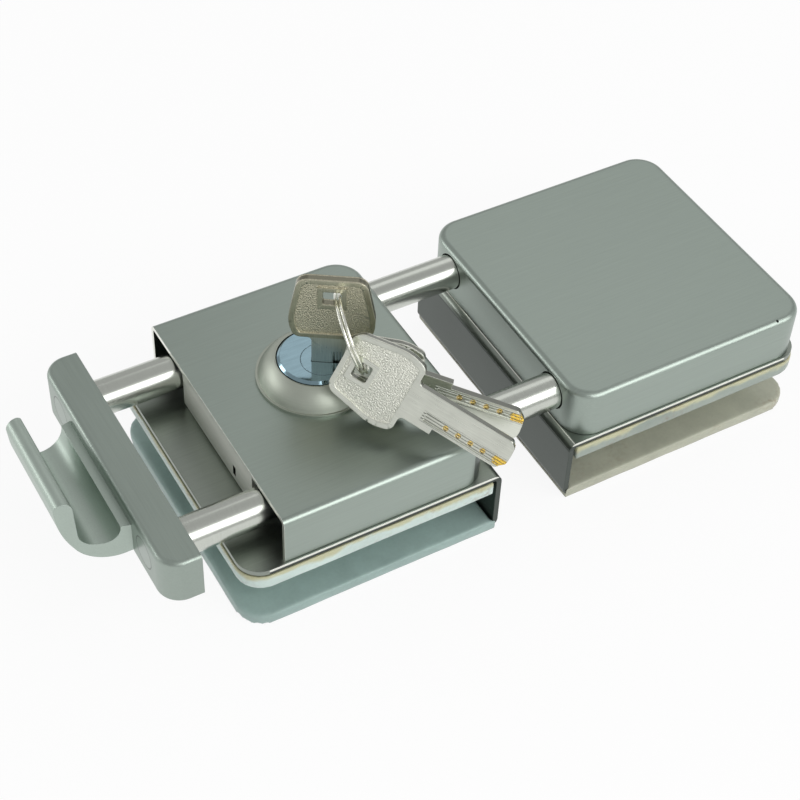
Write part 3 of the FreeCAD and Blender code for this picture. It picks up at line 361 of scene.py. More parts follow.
def plain_steel(name, colour, roughness):
    """Bead-blasted steel without a direction."""
    finish = Finish(name, metallic=1.0)
    speck = finish.grain(0.35 * MM)
    cloud = finish.grain(9 * MM, seed=5.0)
    tone = mottled((speck, 0.5), (cloud, 0.5))
    finish.show(base_color=finish.shaded(tone.ramp(0.2, 0.8), colour, 0.86, 1.06),
                roughness=roughness + (cloud - 0.5) * 0.12, normal=finish.bump(speck, 0.01 * MM))
    return finish.material


def ground_bolt(name, colour):
    """Centreless-ground round bar: fine rings round it and long soft streaks."""
    finish = Finish(name, metallic=1.0)
    rings = finish.grain((0.25 * MM, 3 * MM, 3 * MM))
    streaks = finish.grain((40 * MM, 2.4 * MM, 2.4 * MM), seed=2.0)
    tone = mottled((rings, 0.35), (streaks, 0.4))
    finish.show(base_color=finish.shaded(tone.ramp(0.15, 0.85), colour, 0.86, 1.08),
                roughness=0.22 + (streaks - 0.5) * 0.08, normal=finish.bump(rings, 0.003 * MM))
    return finish.material


def spun_steel(name, colour, centre):
    """Turned steel, with its fine grooves running round one upright axis."""
    finish = Finish(name, metallic=1.0)
    x, y, z = finish.axes()
    radius = away(x - centre.x, y - centre.y)
    grooves = finish.grain(0.22 * MM, finish.spot(radius, z, 0.0))
    cloud = finish.grain(6 * MM, seed=4.0)
    tone = mottled((grooves, 0.5), (cloud, 0.4))
    finish.show(base_color=finish.shaded(tone.ramp(0.15, 0.85), colour, 0.84, 1.1),
                roughness=0.45 + (grooves - 0.5) * 0.1, normal=finish.bump(grooves, 0.006 * MM))
    return finish.material


def chrome(name, colour):
    """Polished plating with faint wiping marks."""
    finish = Finish(name, metallic=1.0)
    wipe = finish.grain((5 * MM, 0.7 * MM, 2 * MM), detail=3.0)
    finish.show(base_color=finish.shaded(wipe.ramp(0.3, 0.8), colour, 1, 0.9),
                roughness=0.07 + wipe * 0.08, normal=finish.bump(wipe, 0.002 * MM))
    return finish.material


def plated(name, colour, roughness=0.3):
    """Plated or turned small parts."""
    finish = Finish(name, metallic=1.0)
    speck = finish.grain(0.5 * MM, detail=3.0)
    finish.show(base_color=finish.shaded(speck.ramp(0.3, 0.75), colour, 1, 0.78),
                roughness=roughness + (speck - 0.5) * 0.2, normal=finish.bump(speck, 0.008 * MM))
    return finish.material


def rubber(name, colour, skin=None, skin_low=0.0, stain_share=0.0, haze=0.12):
    """Aged translucent rubber; skin is its colour above a height, and stains come in patches of spots."""
    finish = Finish(name, subsurface_weight=haze, subsurface_scale=1.2 * MM,
                    subsurface_radius=(1.0, 1.0, 0.9), coat_weight=0.08)
    height = finish.axes()[2]
    cloud = finish.grain(7 * MM, detail=3.0)
    speck = finish.grain(0.9 * MM, detail=3.0, seed=6.0)
    body = finish.shaded(mottled((cloud, 0.9), (speck, 0.35)).ramp(0.2, 0.8), colour, 0.84, 1.08)
    if skin is not None:
        wandering = height + (cloud - 0.5) * SKIN_WANDER
        body = finish.blend(wandering.ramp(skin_low - SKIN_BLUR, skin_low + SKIN_BLUR), body, skin)
    if stain_share:
        patch = finish.grain(11 * MM, detail=4.0, seed=9.0).ramp(0.6 - stain_share * 0.2, 0.8)
        spots = finish.grain(1.3 * MM, detail=3.0, seed=11.0).ramp(0.45, 0.75)
        body = finish.blend(patch * spots * stain_share, body, bpy.context.scene.lock_colours.rust)
    finish.show(base_color=body, roughness=0.42 + (speck - 0.5) * 0.25,
                normal=finish.bump(cloud * 0.6 + speck * 0.4, 0.05 * MM))
    return finish.material


# Frames of keys and ring: an origin in millimetres, then which way X and Y lie

KEY_FRAMES = {
    "inserted_key": ((1.887, -1.2255, 72.0), (0, 0, -1), (0.8387, -0.5446, 0)),
    "loose_key_front": ((-1.18, -12.39, 55.42), (0.561, -0.763, -0.321), (-0.508, -0.011, -0.861)),
    "loose_key_back": ((-0.26, -10.13, 51.55), (0.741, -0.629, -0.236), (0.349, 0.06, 0.935)),
}
RING_FRAME = ((4.54, -6.8, 56.93), (0.459, 0.741, -0.488), (-0.066, 0.577, 0.813))


def turning_of(*axes):
    """The turning that lays X, Y and Z along three directions."""
    return Matrix(axes).transposed()


def frame_of(origin, along, across):
    """Place and turning of a piece whose X lies along one direction and whose Y lies along another."""
    x_axis = Vector(along).normalized()
    z_axis = x_axis.cross(Vector(across)).normalized()
    return Vector(origin) * MM, turning_of(x_axis, z_axis.cross(x_axis), z_axis)


# Which half of a key its milled track is in: 1 for the solid's and -1 for the other

TRACK_SIDES = {"inserted_key": 1, "loose_key_front": -1, "loose_key_back": 1}

# The keys: the solids' own numbers along, across and through a key, and the places of the marks on it

INSERTED_TINT = (0.74, 0.7, 0.6)
KEY_LENGTH = 48.8 * MM
KEY_HALF = 1.15 * MM
KEY_FRONT = 3.4 * MM
KEY_BACK = -5.2 * MM
KEY_SHOULDER = 28.5 * MM
SHOULDER_EASE = 0.02 * MM
FACE_START = KEY_HALF * 0.2
BOW_LENGTH = 19.8 * MM
BOW_SINK = 0.3 * MM
FIELD_LOW = KEY_HALF - BOW_SINK * 1.5
FIELD_TOP = KEY_HALF - BOW_SINK / 2
TIP_START = 36 * MM
TIP_ROUND = 3.2 * MM
TIP_STEPS = 8
GOLD_TIP = 3.4 * MM
GOLD_TIP_TOP = KEY_HALF - 0.1 * MM
FIRST_DIMPLE = 31.3 * MM
DIMPLE_STEP = 3.6 * MM
DIMPLE_REACH = 0.95 * MM
DIMPLE_FLOOR = DIMPLE_REACH * 0.55
GROOVE_FRONT = 1.45 * MM
GROOVE_BACK = -3.25 * MM
GROOVE_HALF = 1.2 * MM
MILLED_START = 24.5 * MM
MILLED_HALF = GROOVE_HALF * 1.3
MILLED_STEP = 0.8 * MM
MILLED_EDGE = 0.2 * MM
BLADE_SIDE_START = GROOVE_HALF * 1.35
BLADE_SIDE_TOP = KEY_HALF - 0.12 * MM


def key_finish(node, colour, field_colour, blade_colour):
    """Nickel key: cast grain in the sunk field of its bow, gold in its dimples and at its tip, and painted
    shade on its edge faces and in its milled grooves.
    """
    scene = bpy.context.scene
    finish = Finish(node + "_nickel", metallic=1.0)
    own = finish.turned_into(*frame_of(*KEY_FRAMES[node]))
    along, across, through = finish.axes(own)
    deep = abs(through)
    bow, blade, face = along < BOW_LENGTH, along > BOW_LENGTH, deep > FACE_START
    field = bow * (deep < FIELD_TOP) * (deep > FIELD_LOW)
    middle = (through * TRACK_SIDES[node] > 0) * (GROOVE_FRONT - GROOVE_BACK) + GROOVE_BACK
    offset = abs(across - middle)

    cast = finish.grain(scene.lock_sizes.cast_grain, own, detail=4.0)
    brushed = finish.grain((6 * MM, 0.3 * MM, 0.3 * MM), own, seed=3.0)
    cloud = finish.grain(5 * MM, own, seed=8.0)
    tone = mottled((brushed, 0.7), (cloud, 0.6)).ramp(0.2, 0.8)
    plain = finish.blend(
        blade, finish.shaded(tone, colour, 0.84, 1.1), finish.shaded(tone, blade_colour, 0.84, 1.1))
    body = finish.blend(field, plain, finish.shaded(cast.ramp(0.35, 0.62), field_colour, 0.78, 1))
    # Painted shade: the edge faces of bow and blade are darkened
    sides = bow * (deep < FIELD_LOW) + blade * (deep < BLADE_SIDE_TOP) * (offset > BLADE_SIDE_START)
    body = finish.blend(sides, body, toned(colour, 0.42))

    station = (along - FIRST_DIMPLE).fold(DIMPLE_STEP)
    dimpled = (along > FIRST_DIMPLE - DIMPLE_REACH * 2) * face
    dimple = (1 - away(station, offset).ramp(DIMPLE_FLOOR, DIMPLE_REACH)) * dimpled
    tip = (along > KEY_LENGTH - GOLD_TIP) * (offset < GROOVE_HALF) * (deep < GOLD_TIP_TOP)
    worn = finish.grain(0.5 * MM, own, detail=3.0, seed=12.0).ramp(0.25, 0.45)
    gilt = (dimple * 0.8).higher(tip) * worn
    body = finish.blend(gilt, body, scene.lock_colours.gold)

    track = (along > MILLED_START) * (offset < MILLED_HALF) * face
    groove = track * (1 - offset.fold(MILLED_STEP).ramp(0.0, MILLED_EDGE))
    # Painted shade in the milled grooves
    body = finish.blend(groove * 0.8, body, toned(blade_colour, 0.2))
    relief = field * cast * 2.2 + (1 - field) * brushed * 0.05 - groove * 0.6 + gilt * worn * 0.7
    finish.show(base_color=body, roughness=0.3 + (brushed - 0.5) * 0.15 + field * 0.08 - gilt * 0.1,
                normal=finish.bump(relief, 0.16 * MM, 0.3 * MM))
    return finish.material


# Placing finishes and making pieces

def body_of(node):
    return frame["nodes"][node]["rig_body"]


def dress_nodes(names, material):
    """Give a finish to CAD nodes."""
    for name in names:
        node = frame["nodes"][name]
        if not node.material_slots:
            node.data.materials.append(None)
        for slot in node.material_slots:
            slot.material = material


def new_piece(name, mesh, body, slot, *replaced, smooth=True):
    """A finished mesh as a piece that rides on a body and stands for CAD nodes."""
    piece = bpy.data.objects.new(name, mesh)
    bpy.context.scene.collection.objects.link(piece)
    if smooth:
        mesh.shade_smooth()
    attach(piece, body)
    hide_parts(*replaced)


def held(mesh):
    """A mesh on an object that carries modifiers for a moment."""
    holder = bpy.data.objects.new("holder", mesh)
    bpy.context.scene.collection.objects.link(holder)
    return holder


def plain_mesh(holder):
    """The mesh that a holder's modifiers make; the holder goes."""
    mesh = bpy.data.meshes.new_from_object(holder.evaluated_get(bpy.context.evaluated_depsgraph_get()))
    bpy.data.objects.remove(holder)
    return mesh


def merged(node):
    """A copy of a CAD node's mesh with its doubles merged."""
    mesh = frame["nodes"][node].data.copy()
    shape = bmesh.new()
    shape.from_mesh(mesh)
    bmesh.ops.remove_doubles(shape, verts=shape.verts, dist=MERGE_REACH)
    shape.to_mesh(mesh)
    shape.free()
    return mesh


def move_into(mesh, place, turning):
    """Turn a mesh and move it to its place."""
    mesh.transform(Matrix.Translation(place) @ turning.to_4x4())


def tip_envelope():
    """A prism round a whole key whose only tight place is the rounded tip of the blade."""
    wide, past = 14 * MM, 1 * MM
    radius = TIP_ROUND + past
    outline = [(-past, -wide), (TIP_START, -wide), (TIP_START, KEY_BACK - past)]
    for centre, first in ((KEY_BACK - past + radius, -90), (KEY_FRONT + past - radius, 0)):
        for step in range(TIP_STEPS + 1):
            angle = math.radians(first + 90 * step / TIP_STEPS)
            along = KEY_LENGTH - TIP_ROUND + TIP_ROUND * math.cos(angle)
            outline.append((along, centre + radius * math.sin(angle)))
    outline += [(TIP_START, KEY_FRONT + past), (TIP_START, wide), (-past, wide)]
    shape = bmesh.new()
    face = shape.faces.new([shape.verts.new((along, across, -past * 2)) for along, across in outline])
    grown = bmesh.ops.extrude_face_region(shape, geom=[face])["geom"]
    bmesh.ops.translate(shape, verts=[part for part in grown if isinstance(part, bmesh.types.BMVert)],
                        vec=(0, 0, past * 4))
    bmesh.ops.recalc_face_normals(shape, faces=shape.faces)
    mesh = bpy.data.meshes.new("tip_envelope")
    shape.to_mesh(mesh)
    shape.free()
    return mesh


def key_mesh(node, material):
    """The CAD key with a rounded tip, mirrored where its milled track is in the other half."""
    place, turning = frame_of(*KEY_FRAMES[node])
    own = Matrix.Translation(place) @ turning.to_4x4()
    envelope = tip_envelope()
    envelope.transform(own)
    cutter = held(envelope)
    solid = merged(node)
    if TRACK_SIDES[node] < 0:
        solid.transform(own @ Matrix.Diagonal((1, 1, -1, 1)) @ own.inverted())
        solid.flip_normals()
        # Normals kept from the solid would point as they did before the mirroring
        kept_normals = solid.attributes.get("custom_normal")
        if kept_normals:
            solid.attributes.remove(kept_normals)
    holder = held(solid)
    cut = holder.modifiers.new("tip", "BOOLEAN")
    cut.operation = "INTERSECT"
    cut.solver = "EXACT"
    cut.object = cutter
    mesh = plain_mesh(holder)
    bpy.data.objects.remove(cutter)
    along = turning @ Vector((1, 0, 0))
    for vertex in mesh.vertices:
        if abs((vertex.co - place).dot(along) - KEY_SHOULDER) < SAME_PLACE:
            vertex.co -= along * SHOULDER_EASE
    mesh.materials.clear()
    mesh.materials.append(material)
    return mesh


class Growth(Graph):
    """A geometry tree with named inputs, which ends in a row of one piece."""

    def __init__(self, name, inputs):
        super().__init__(bpy.data.node_groups.new(name, "GeometryNodeTree"))
        self.tree.interface.new_socket("Geometry", in_out="OUTPUT", socket_type="NodeSocketGeometry")
        self.keys = {}
        for label, kind in {**inputs, "Count": "Int", "Spacing": "Float", "Material": "Material"}.items():
            socket = self.tree.interface.new_socket(label, in_out="INPUT", socket_type="NodeSocket" + kind)
            self.keys[label] = socket.identifier
        self.given = self.add("NodeGroupInput").outputs

    def close(self, piece):
        """Lay the piece in a row along X, then realize the row and give it its material."""
        step = self.add("ShaderNodeCombineXYZ", None, {0: self.given["Spacing"]})
        row = self.add("GeometryNodeMeshLine", None, {
            "Count": self.given["Count"], "Offset": step.outputs[0]})
        copies = self.add("GeometryNodeInstanceOnPoints", None, {
            "Points": row.outputs[0], "Instance": piece.outputs[0]})
        whole = self.add("GeometryNodeRealizeInstances", None, {"Geometry": copies.outputs[0]})
        dressed = self.add("GeometryNodeSetMaterial", None, {
            "Geometry": whole.outputs[0], "Material": self.given["Material"]})
        self.add("NodeGroupOutput", None, {0: dressed.outputs[0]})

    def grow(self, material, **values):
        """The plain mesh that the tree makes with these inputs."""
        holder = held(bpy.data.meshes.new("seed"))
        modifier = holder.modifiers.new("growth", "NODES")
        modifier.node_group = self.tree
        modifier[self.keys["Material"]] = material
        for label, value in values.items():
            modifier[self.keys[label.replace("_", " ").capitalize()]] = value
        return plain_mesh(holder)


def coil_tree():
    """A row of coils of round wire: one coil is a key ring, several are pin springs."""
    tree = Growth("coil_row", {"Radius": "Float", "Wire": "Float", "Turns": "Float", "Height": "Float",
                               "Turn steps": "Int", "Wire sides": "Int"})
    given = tree.given
    spiral = tree.add("GeometryNodeCurveSpiral", None, {
        "Resolution": given["Turn steps"], "Rotations": given["Turns"], "Start Radius": given["Radius"],
        "End Radius": given["Radius"], "Height": given["Height"], "Reverse": True})
    section = tree.add("GeometryNodeCurvePrimitiveCircle", None, {
        "Resolution": given["Wire sides"], "Radius": given["Wire"]})
    tree.close(tree.add("GeometryNodeCurveToMesh", None, {
        "Curve": spiral.outputs[0], "Profile Curve": section.outputs[0], "Fill Caps": True}))
    return tree


def screw_tree():
    """A row of screws with hexagon sockets, their heads on the row and their shanks upwards."""
    tree = Growth("screw_row", {"Head radius": "Float", "Head height": "Float", "Shank radius": "Float",
                                "Shank length": "Float", "Socket radius": "Float", "Socket depth": "Float",
                                "Sides": "Int"})
    given = tree.given
    head = tree.add("GeometryNodeMeshCone", None, {
        "Vertices": given["Sides"], "Radius Top": given["Shank radius"],
        "Radius Bottom": given["Head radius"], "Depth": given["Head height"]})
    screw = tree.add("GeometryNodeExtrudeMesh", None, {
        "Mesh": head.outputs["Mesh"], "Selection": head.outputs["Top"],
        "Offset Scale": given["Shank length"]})
    twice = tree.add("ShaderNodeMath", {"operation": "MULTIPLY"}, {0: given["Socket depth"], 1: 2.0})
    socket = tree.add("GeometryNodeMeshCylinder", None, {
        "Vertices": 6, "Radius": given["Socket radius"], "Depth": twice.outputs[0]})
    tree.close(tree.add("GeometryNodeMeshBoolean", {"operation": "DIFFERENCE"}, {
        "Mesh 1": screw.outputs["Mesh"], "Mesh 2": socket.outputs["Mesh"]}))
    return tree


# Screws with sockets: which way a shank points from its head, and the sizes of the screw

CAP_SCREW = {"head_radius": 3.0 * MM, "head_height": 1.5 * MM, "shank_radius": 1.5 * MM,
             "socket_radius": 1.15 * MM, "socket_depth": 1.2 * MM}
GRUB_SCREW = {"head_radius": 2.5 * MM, "head_height": 2.0 * MM, "shank_radius": 2.5 * MM,
              "socket_radius": 1.4 * MM, "socket_depth": 2.4 * MM}
SCREWS = {
    "pull_screws": ((-1, 0, 0), CAP_SCREW),
    "case_post_screws": ((0, 0, 1), CAP_SCREW),
    "keeper_post_screws": ((0, 0, 1), CAP_SCREW),
    "case_grub_screws": ((0, 0, -1), GRUB_SCREW),
    "keeper_grub_screws": ((0, 0, -1), GRUB_SCREW),
}


def stations(low, high, radius):
    """Middles of the one or two round pieces that a stretch has room for."""
    if high - low < 4 * radius:
        return [(low + high) / 2]
    return [low + radius, high - radius]


def screw_mesh(tree, node, material):
    """The screws of one node, in rows along their first shared direction."""
    inward, screw = Vector(SCREWS[node][0]), SCREWS[node][1]
    radius = screw["head_radius"]
    low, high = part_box(node)
    depth_axis = max(range(3), key=lambda axis: abs(inward[axis]))
    row_axis, side_axis = [axis for axis in (1, 0, 2) if axis != depth_axis]
    row = stations(low[row_axis], high[row_axis], radius)
    along = Vector([float(axis == row_axis) for axis in range(3)])
    length = high[depth_axis] - low[depth_axis]
    whole = bmesh.new()
    for side in stations(low[side_axis], high[side_axis], radius):
        mesh = tree.grow(material, **screw, shank_length=length - screw["head_height"], sides=32,
                         count=len(row), spacing=row[-1] - row[0])
        start = Vector((0, 0, 0))
        start[row_axis], start[side_axis] = row[0], side
        start[depth_axis] = (low if inward[depth_axis] > 0 else high)[depth_axis]
        move_into(mesh, start, turning_of(along, inward.cross(along), inward))
        whole.from_mesh(mesh)
    joined = bpy.data.meshes.new(node + "_sockets")
    whole.to_mesh(joined)
    whole.free()
    joined.materials.append(material)
    return joined


# The pads: how far apart the high spots of their surface are, and how deep the aged skin reaches

PAD_WAVE_RUN = 9 * MM
SKIN_DEPTH = 1.1 * MM


def pad_mesh(node, material):
    """A rubber pad: the CAD pad with rounded edges and a surface that sinks a little between high spots."""
    sizes = bpy.context.scene.lock_sizes
    holder = held(merged(node))
    remesh = holder.modifiers.new("even", "REMESH")
    remesh.mode = "VOXEL"
    remesh.voxel_size = sizes.pad_voxel
    smooth = holder.modifiers.new("round", "SMOOTH")
    smooth.iterations = 2
    smooth.factor = 0.5
    soft = plain_mesh(holder)
    outward = [vertex.normal.copy() for vertex in soft.vertices]
    for vertex, normal in zip(soft.vertices, outward):
        wave = 0.5 + 0.5 * noise.noise(vertex.co / PAD_WAVE_RUN)
        vertex.co -= normal * wave * sizes.pad_wave
    soft.materials.clear()
    soft.materials.append(material)
    return soft


# Patches of the sheets, each a test in object coordinates with its colour, most of them painted shade and
# painted highlights; these are their places and widths

COVER_SKIN = 0.6 * MM
FOOT_SHADOW = 0.22 * MM
PIT_PLACE = (120.5 * MM, -38.4 * MM)
PIT_RADIUS = 0.38 * MM
FRAME_SHEET = 2.0 * MM
RIM_HIGHLIGHT = 0.7 * MM
RIM_SHADE = 2.2 * MM
LEDGE_SKIN = 0.2 * MM
SLOT_PLACE = (-10.1 * MM, 26.2 * MM)
SLOT_HALF = (0.9 * MM, 1.8 * MM)
SLOT_DEPTH = 1.3 * MM
SEAM_WIDTH = 0.3 * MM


def foot_shadow(x, y, z):
    """The shadow that cover and lid have along their foot."""
    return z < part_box("case_cover")[0].z + FOOT_SHADOW


def cover_patches(steel, bright):
    """Painted shade on the cover's inner faces, the painted shadow along its foot, and its bare cut end face
    lightened to near white as a painted highlight.
    """
    low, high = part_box("case_cover")
    open_end = low.x + FACE_SKIN

    # Painted shade: the cover's inner faces are darkened
    def inside_shade(x, y, z):
        return (abs(y) < high.y - COVER_SKIN) * (z < high.z - COVER_SKIN) * (x > open_end)

    # The cut end face is bare steel; its near-white colour is a painted highlight
    def cut_edge_highlight(x, y, z):
        return x < open_end

    return (inside_shade, toned(steel, 0.4)), (foot_shadow, toned(steel, 0.3)), (cut_edge_highlight, bright)


def lid_patches(steel):
    """The painted shadow along the keeper lid's foot, and painted shade for a small pit in its top: a
    near-black dot.
    """
    # Painted shade: a near-black dot for a small pit
    def pit(x, y, z):
        return away(x - PIT_PLACE[0], y - PIT_PLACE[1]) < PIT_RADIUS

    return (foot_shadow, toned(steel, 0.3)), (pit, toned(steel, 0.05))


def frame_patches(steel, bright):
    """Painted shade on the frames' end walls at the gap, a painted highlight and painted shade on the
    shelves' rims, and a painted highlight on the ledge in front of the keeper's lid.
    """
    case_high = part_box("case_frame")[1]
    keeper_low, keeper_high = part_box("keeper_frame")
    lid_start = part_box("keeper_lid")[0].x
    side, top = case_high.y - FACE_SKIN, keeper_high.z

    # Painted shade: the frames' end walls at the gap are darkened
    def gap_wall_shade(x, y, z):
        between = (x > case_high.x - FRAME_SHEET) * (x < keeper_low.x + FRAME_SHEET)
        return between * (z < top - FRAME_SHEET)

    # Painted highlight: a near-white band along the top of the shelves' rims
    def rim_highlight(x, y, z):
        return (abs(y) > side) * (z > top - RIM_HIGHLIGHT)

    # Painted shade: a dark band on the rims below the painted highlight
    def rim_shade(x, y, z):
        return (abs(y) > side) * (z < top - RIM_HIGHLIGHT) * (z > top - RIM_SHADE)

    # Painted highlight: the ledge's top is near white
    def ledge(x, y, z):
        return (z > top - LEDGE_SKIN) * (x > keeper_low.x) * (x < lid_start)

    return (gap_wall_shade, toned(steel, 0.24)), (rim_highlight, bright), (rim_shade, toned(steel, 0.2)), (ledge, bright)


def bracket_patches(steel):
    """Painted shade in the slot in the wall of the end bracket."""
    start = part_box("end_bracket")[0].x

    # Painted shade: the slot's walls are near black
    def slot(x, y, z):
        mouth = (abs(y - SLOT_PLACE[0]) < SLOT_HALF[0]) * (abs(z - SLOT_PLACE[1]) < SLOT_HALF[1])
        return mouth * (x > start + FACE_SKIN) * (x < start + SLOT_DEPTH)

    return ((slot, toned(steel, 0.03)),)


def yoke_patches(steel):
    """The dark seams round the flush screws in the yoke."""
    low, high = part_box("bolt_end_screws")
    radius = (high.z - low.z) / 2

    def seam(x, y, z):
        reach = away(abs(y) - (high.y - radius), z - (low.z + radius))
        return (reach < radius + SEAM_WIDTH) * (x < low.x + FACE_SKIN)

    return ((seam, toned(steel, 0.4)),)


# Operators, one for each piece or group of like pieces

class LOCK_OT_sheets(bpy.types.Operator):
    """Finish the cover, lid, clamp frames, pressure plates and end bracket"""

    bl_idname = "lock.sheets"
    bl_label = "Sheets"

    def execute(self, context):
        colours = context.scene.lock_colours
        steel, bright, dull = colours.steel, colours.steel_light, colours.frame_steel
        dress_nodes(["case_cover"], satin_steel(
            "cover_steel", steel, 0.37, patches=cover_patches(steel, bright)))
        dress_nodes(["keeper_lid"], satin_steel("lid_steel", steel, 0.38, patches=lid_patches(steel)))
        dress_nodes(["case_frame", "keeper_frame"], satin_steel(
            "frame_steel", dull, patches=frame_patches(steel, bright)))
        dress_nodes(["case_pressure_plate", "keeper_pressure_plate"], plain_steel("plate_steel", dull, 0.45))
        dress_nodes(["end_bracket"], satin_steel("bracket_steel", bright, 0.5, "Y", bracket_patches(steel)))
        return {"FINISHED"}


class LOCK_OT_bolts(bpy.types.Operator):
    """Finish the yoke, the pull, the two bolts and the guides they run in"""

    bl_idname = "lock.bolts"
    bl_label = "Bolts and pull"

    def execute(self, context):
        colours = context.scene.lock_colours
        dress_nodes(["yoke"], satin_steel("yoke_steel", colours.steel, 0.4, "Y", yoke_patches(colours.steel)))
        dress_nodes(["hook_pull"], plain_steel("pull_steel", toned(colours.steel, 1.35), 0.46))
        dress_nodes(["near_bolt", "far_bolt", "stop_pins"], ground_bolt("bolt_steel", colours.bolt))
        # The guide blocks' zinc is darkened to a painted shade
        dress_nodes(["front_guide_blocks", "rear_guide_blocks", "keeper_guide_blocks"],
                    plated("guide_zinc", toned(colours.zinc, 0.3), 0.4))
        return {"FINISHED"}


class LOCK_OT_cylinder(bpy.types.Operator):
    """Finish the rosette, the barrel, its plug, pins, nut, cam and clip"""

    bl_idname = "lock.cylinder"
    bl_label = "Cylinder"

    def execute(self, context):
        colours = context.scene.lock_colours
        low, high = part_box("rosette")
        dress_nodes(["rosette"], spun_steel("rosette_steel", colours.rosette, (low + high) / 2))
        dress_nodes(["cylinder_body", "plug"], chrome("barrel_chrome", colours.barrel))
        dress_nodes(["key_pins", "driver_pins", "cylinder_nut"], plated("lock_brass", colours.brass))
        dress_nodes(["cam", "cam_clip"], plated("cam_steel", colours.zinc, 0.38))
        return {"FINISHED"}


# The pin springs, whose row stands square to the turned keyway

KEYWAY_TURN = math.radians(-33)
SPRING_LENGTH = 1.6 * MM
SPRING_RADIUS = 0.9 * MM
SPRING_COUNT = 4


class LOCK_OT_springs(bpy.types.Operator):
    """Wind the pin springs of the barrel"""

    bl_idname = "lock.springs"
    bl_label = "Pin springs"

    def execute(self, context):
        colours, sizes = context.scene.lock_colours, context.scene.lock_sizes
        low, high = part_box("pin_springs")
        mesh = coil_tree().grow(
            plated("spring_steel", colours.zinc, 0.25), radius=SPRING_RADIUS - sizes.spring_wire,
            wire=sizes.spring_wire, turns=sizes.spring_turns, height=SPRING_LENGTH - 2 * sizes.spring_wire,
            turn_steps=24, wire_sides=8, count=SPRING_COUNT,
            spacing=(high.z - low.z - 2 * SPRING_RADIUS) / (SPRING_COUNT - 1))
        upward = Vector((0, 0, 1))
        outward = Vector((-math.sin(KEYWAY_TURN), math.cos(KEYWAY_TURN), 0))
        start = (low + high) / 2 - outward * (SPRING_LENGTH / 2 - sizes.spring_wire)
        start.z = low.z + SPRING_RADIUS
        move_into(mesh, start, turning_of(upward, outward.cross(upward), outward))
        new_piece("pin_spring_coils", mesh, body_of("pin_springs"), "spring_steel", "pin_springs")
        return {"FINISHED"}


class LOCK_OT_fasteners(bpy.types.Operator):
    """Finish the screws, nuts and posts"""

    bl_idname = "lock.fasteners"
    bl_label = "Fasteners"

    def execute(self, context):
        colours = context.scene.lock_colours
        zinc = plated("fastener_zinc", colours.zinc)
        dress_nodes(["case_posts", "keeper_posts", "case_clinch_nuts", "keeper_clinch_nuts"], zinc)
        dress_nodes(["bolt_end_screws"], plain_steel("end_screw_steel", colours.steel, 0.34))
        tree = screw_tree()
        for node in SCREWS:
            new_piece(node + "_sockets", screw_mesh(tree, node, zinc), body_of(node), "fastener_zinc", node,
                      smooth=False)
        return {"FINISHED"}


class LOCK_OT_keys(bpy.types.Operator):
    """Finish the three keys"""

    bl_idname = "lock.keys"
    bl_label = "Keys"

    def execute(self, context):
        colours = context.scene.lock_colours
        for node in KEY_FRAMES:
            tint = INSERTED_TINT if node == "inserted_key" else (1, 1, 1)
            material = key_finish(
                node, tinted(colours.key, tint), tinted(colours.key_grain, tint), colours.key)
            new_piece(node + "_rounded", key_mesh(node, material), body_of(node), "key_nickel", node,
                      smooth=False)
        return {"FINISHED"}


class LOCK_OT_key_ring(bpy.types.Operator):
    """Wind the split key ring"""

    bl_idname = "lock.key_ring"
    bl_label = "Key ring"

    def execute(self, context):
        colours, sizes = context.scene.lock_colours, context.scene.lock_sizes
        mesh = coil_tree().grow(
            plated("ring_steel", colours.key_grain, 0.2), radius=sizes.ring_radius, wire=sizes.ring_wire,
            turns=sizes.ring_turns, height=sizes.ring_pitch * sizes.ring_turns, turn_steps=72, wire_sides=14,
            count=1, spacing=0.0)
        mesh.transform(Matrix.Translation((0, 0, -sizes.ring_pitch)))
        move_into(mesh, *frame_of(*RING_FRAME))
        new_piece("split_ring", mesh, body_of("key_ring"), "key_nickel", "key_ring")
        return {"FINISHED"}


class LOCK_OT_pads(bpy.types.Operator):
    """Make the four rubber pads"""

    bl_idname = "lock.pads"
    bl_label = "Rubber pads"

    def execute(self, context):
        colours = context.scene.lock_colours
        aged = {"skin": colours.yellowed, "skin_low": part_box("case_upper_pad")[1].z - SKIN_DEPTH,
                "stain_share": 0.8}
        pads = {
            "case_upper_pad": (rubber("pale_rubber", colours.pale_rubber, **aged), "pale_rubber"),
            "keeper_upper_pad": (rubber("grey_rubber", colours.grey_rubber, **aged), "pale_rubber"),
            "case_lower_pad": (rubber("milky_rubber", colours.milky_rubber, haze=0.3), "milky_rubber"),
            "keeper_lower_pad": (rubber("cream_rubber", colours.cream_rubber, stain_share=0.5),
                                 "cream_rubber"),
        }
        for node, (material, slot) in pads.items():
            new_piece(node + "_rubber", pad_mesh(node, material), body_of(node), slot, node)
        return {"FINISHED"}


# Lamps, in metres: where each stands, what it points at, and its width and height

LAMPS = {
    "back": ((0.8, 0.75, 1.15), (0.05, 0, 0), (0.9, 0.6)),
    "front": ((0.42, -0.98, 0.76), (0.03, 0, 0.02), (1.6, 0.75)),
    "side": ((-0.95, 0.72, 0.44), (0, 0, 0.02), (0.9, 0.2)),
}
FLOOR_GAP = 0.02 * MM
FLOOR_GLOW = 0.9


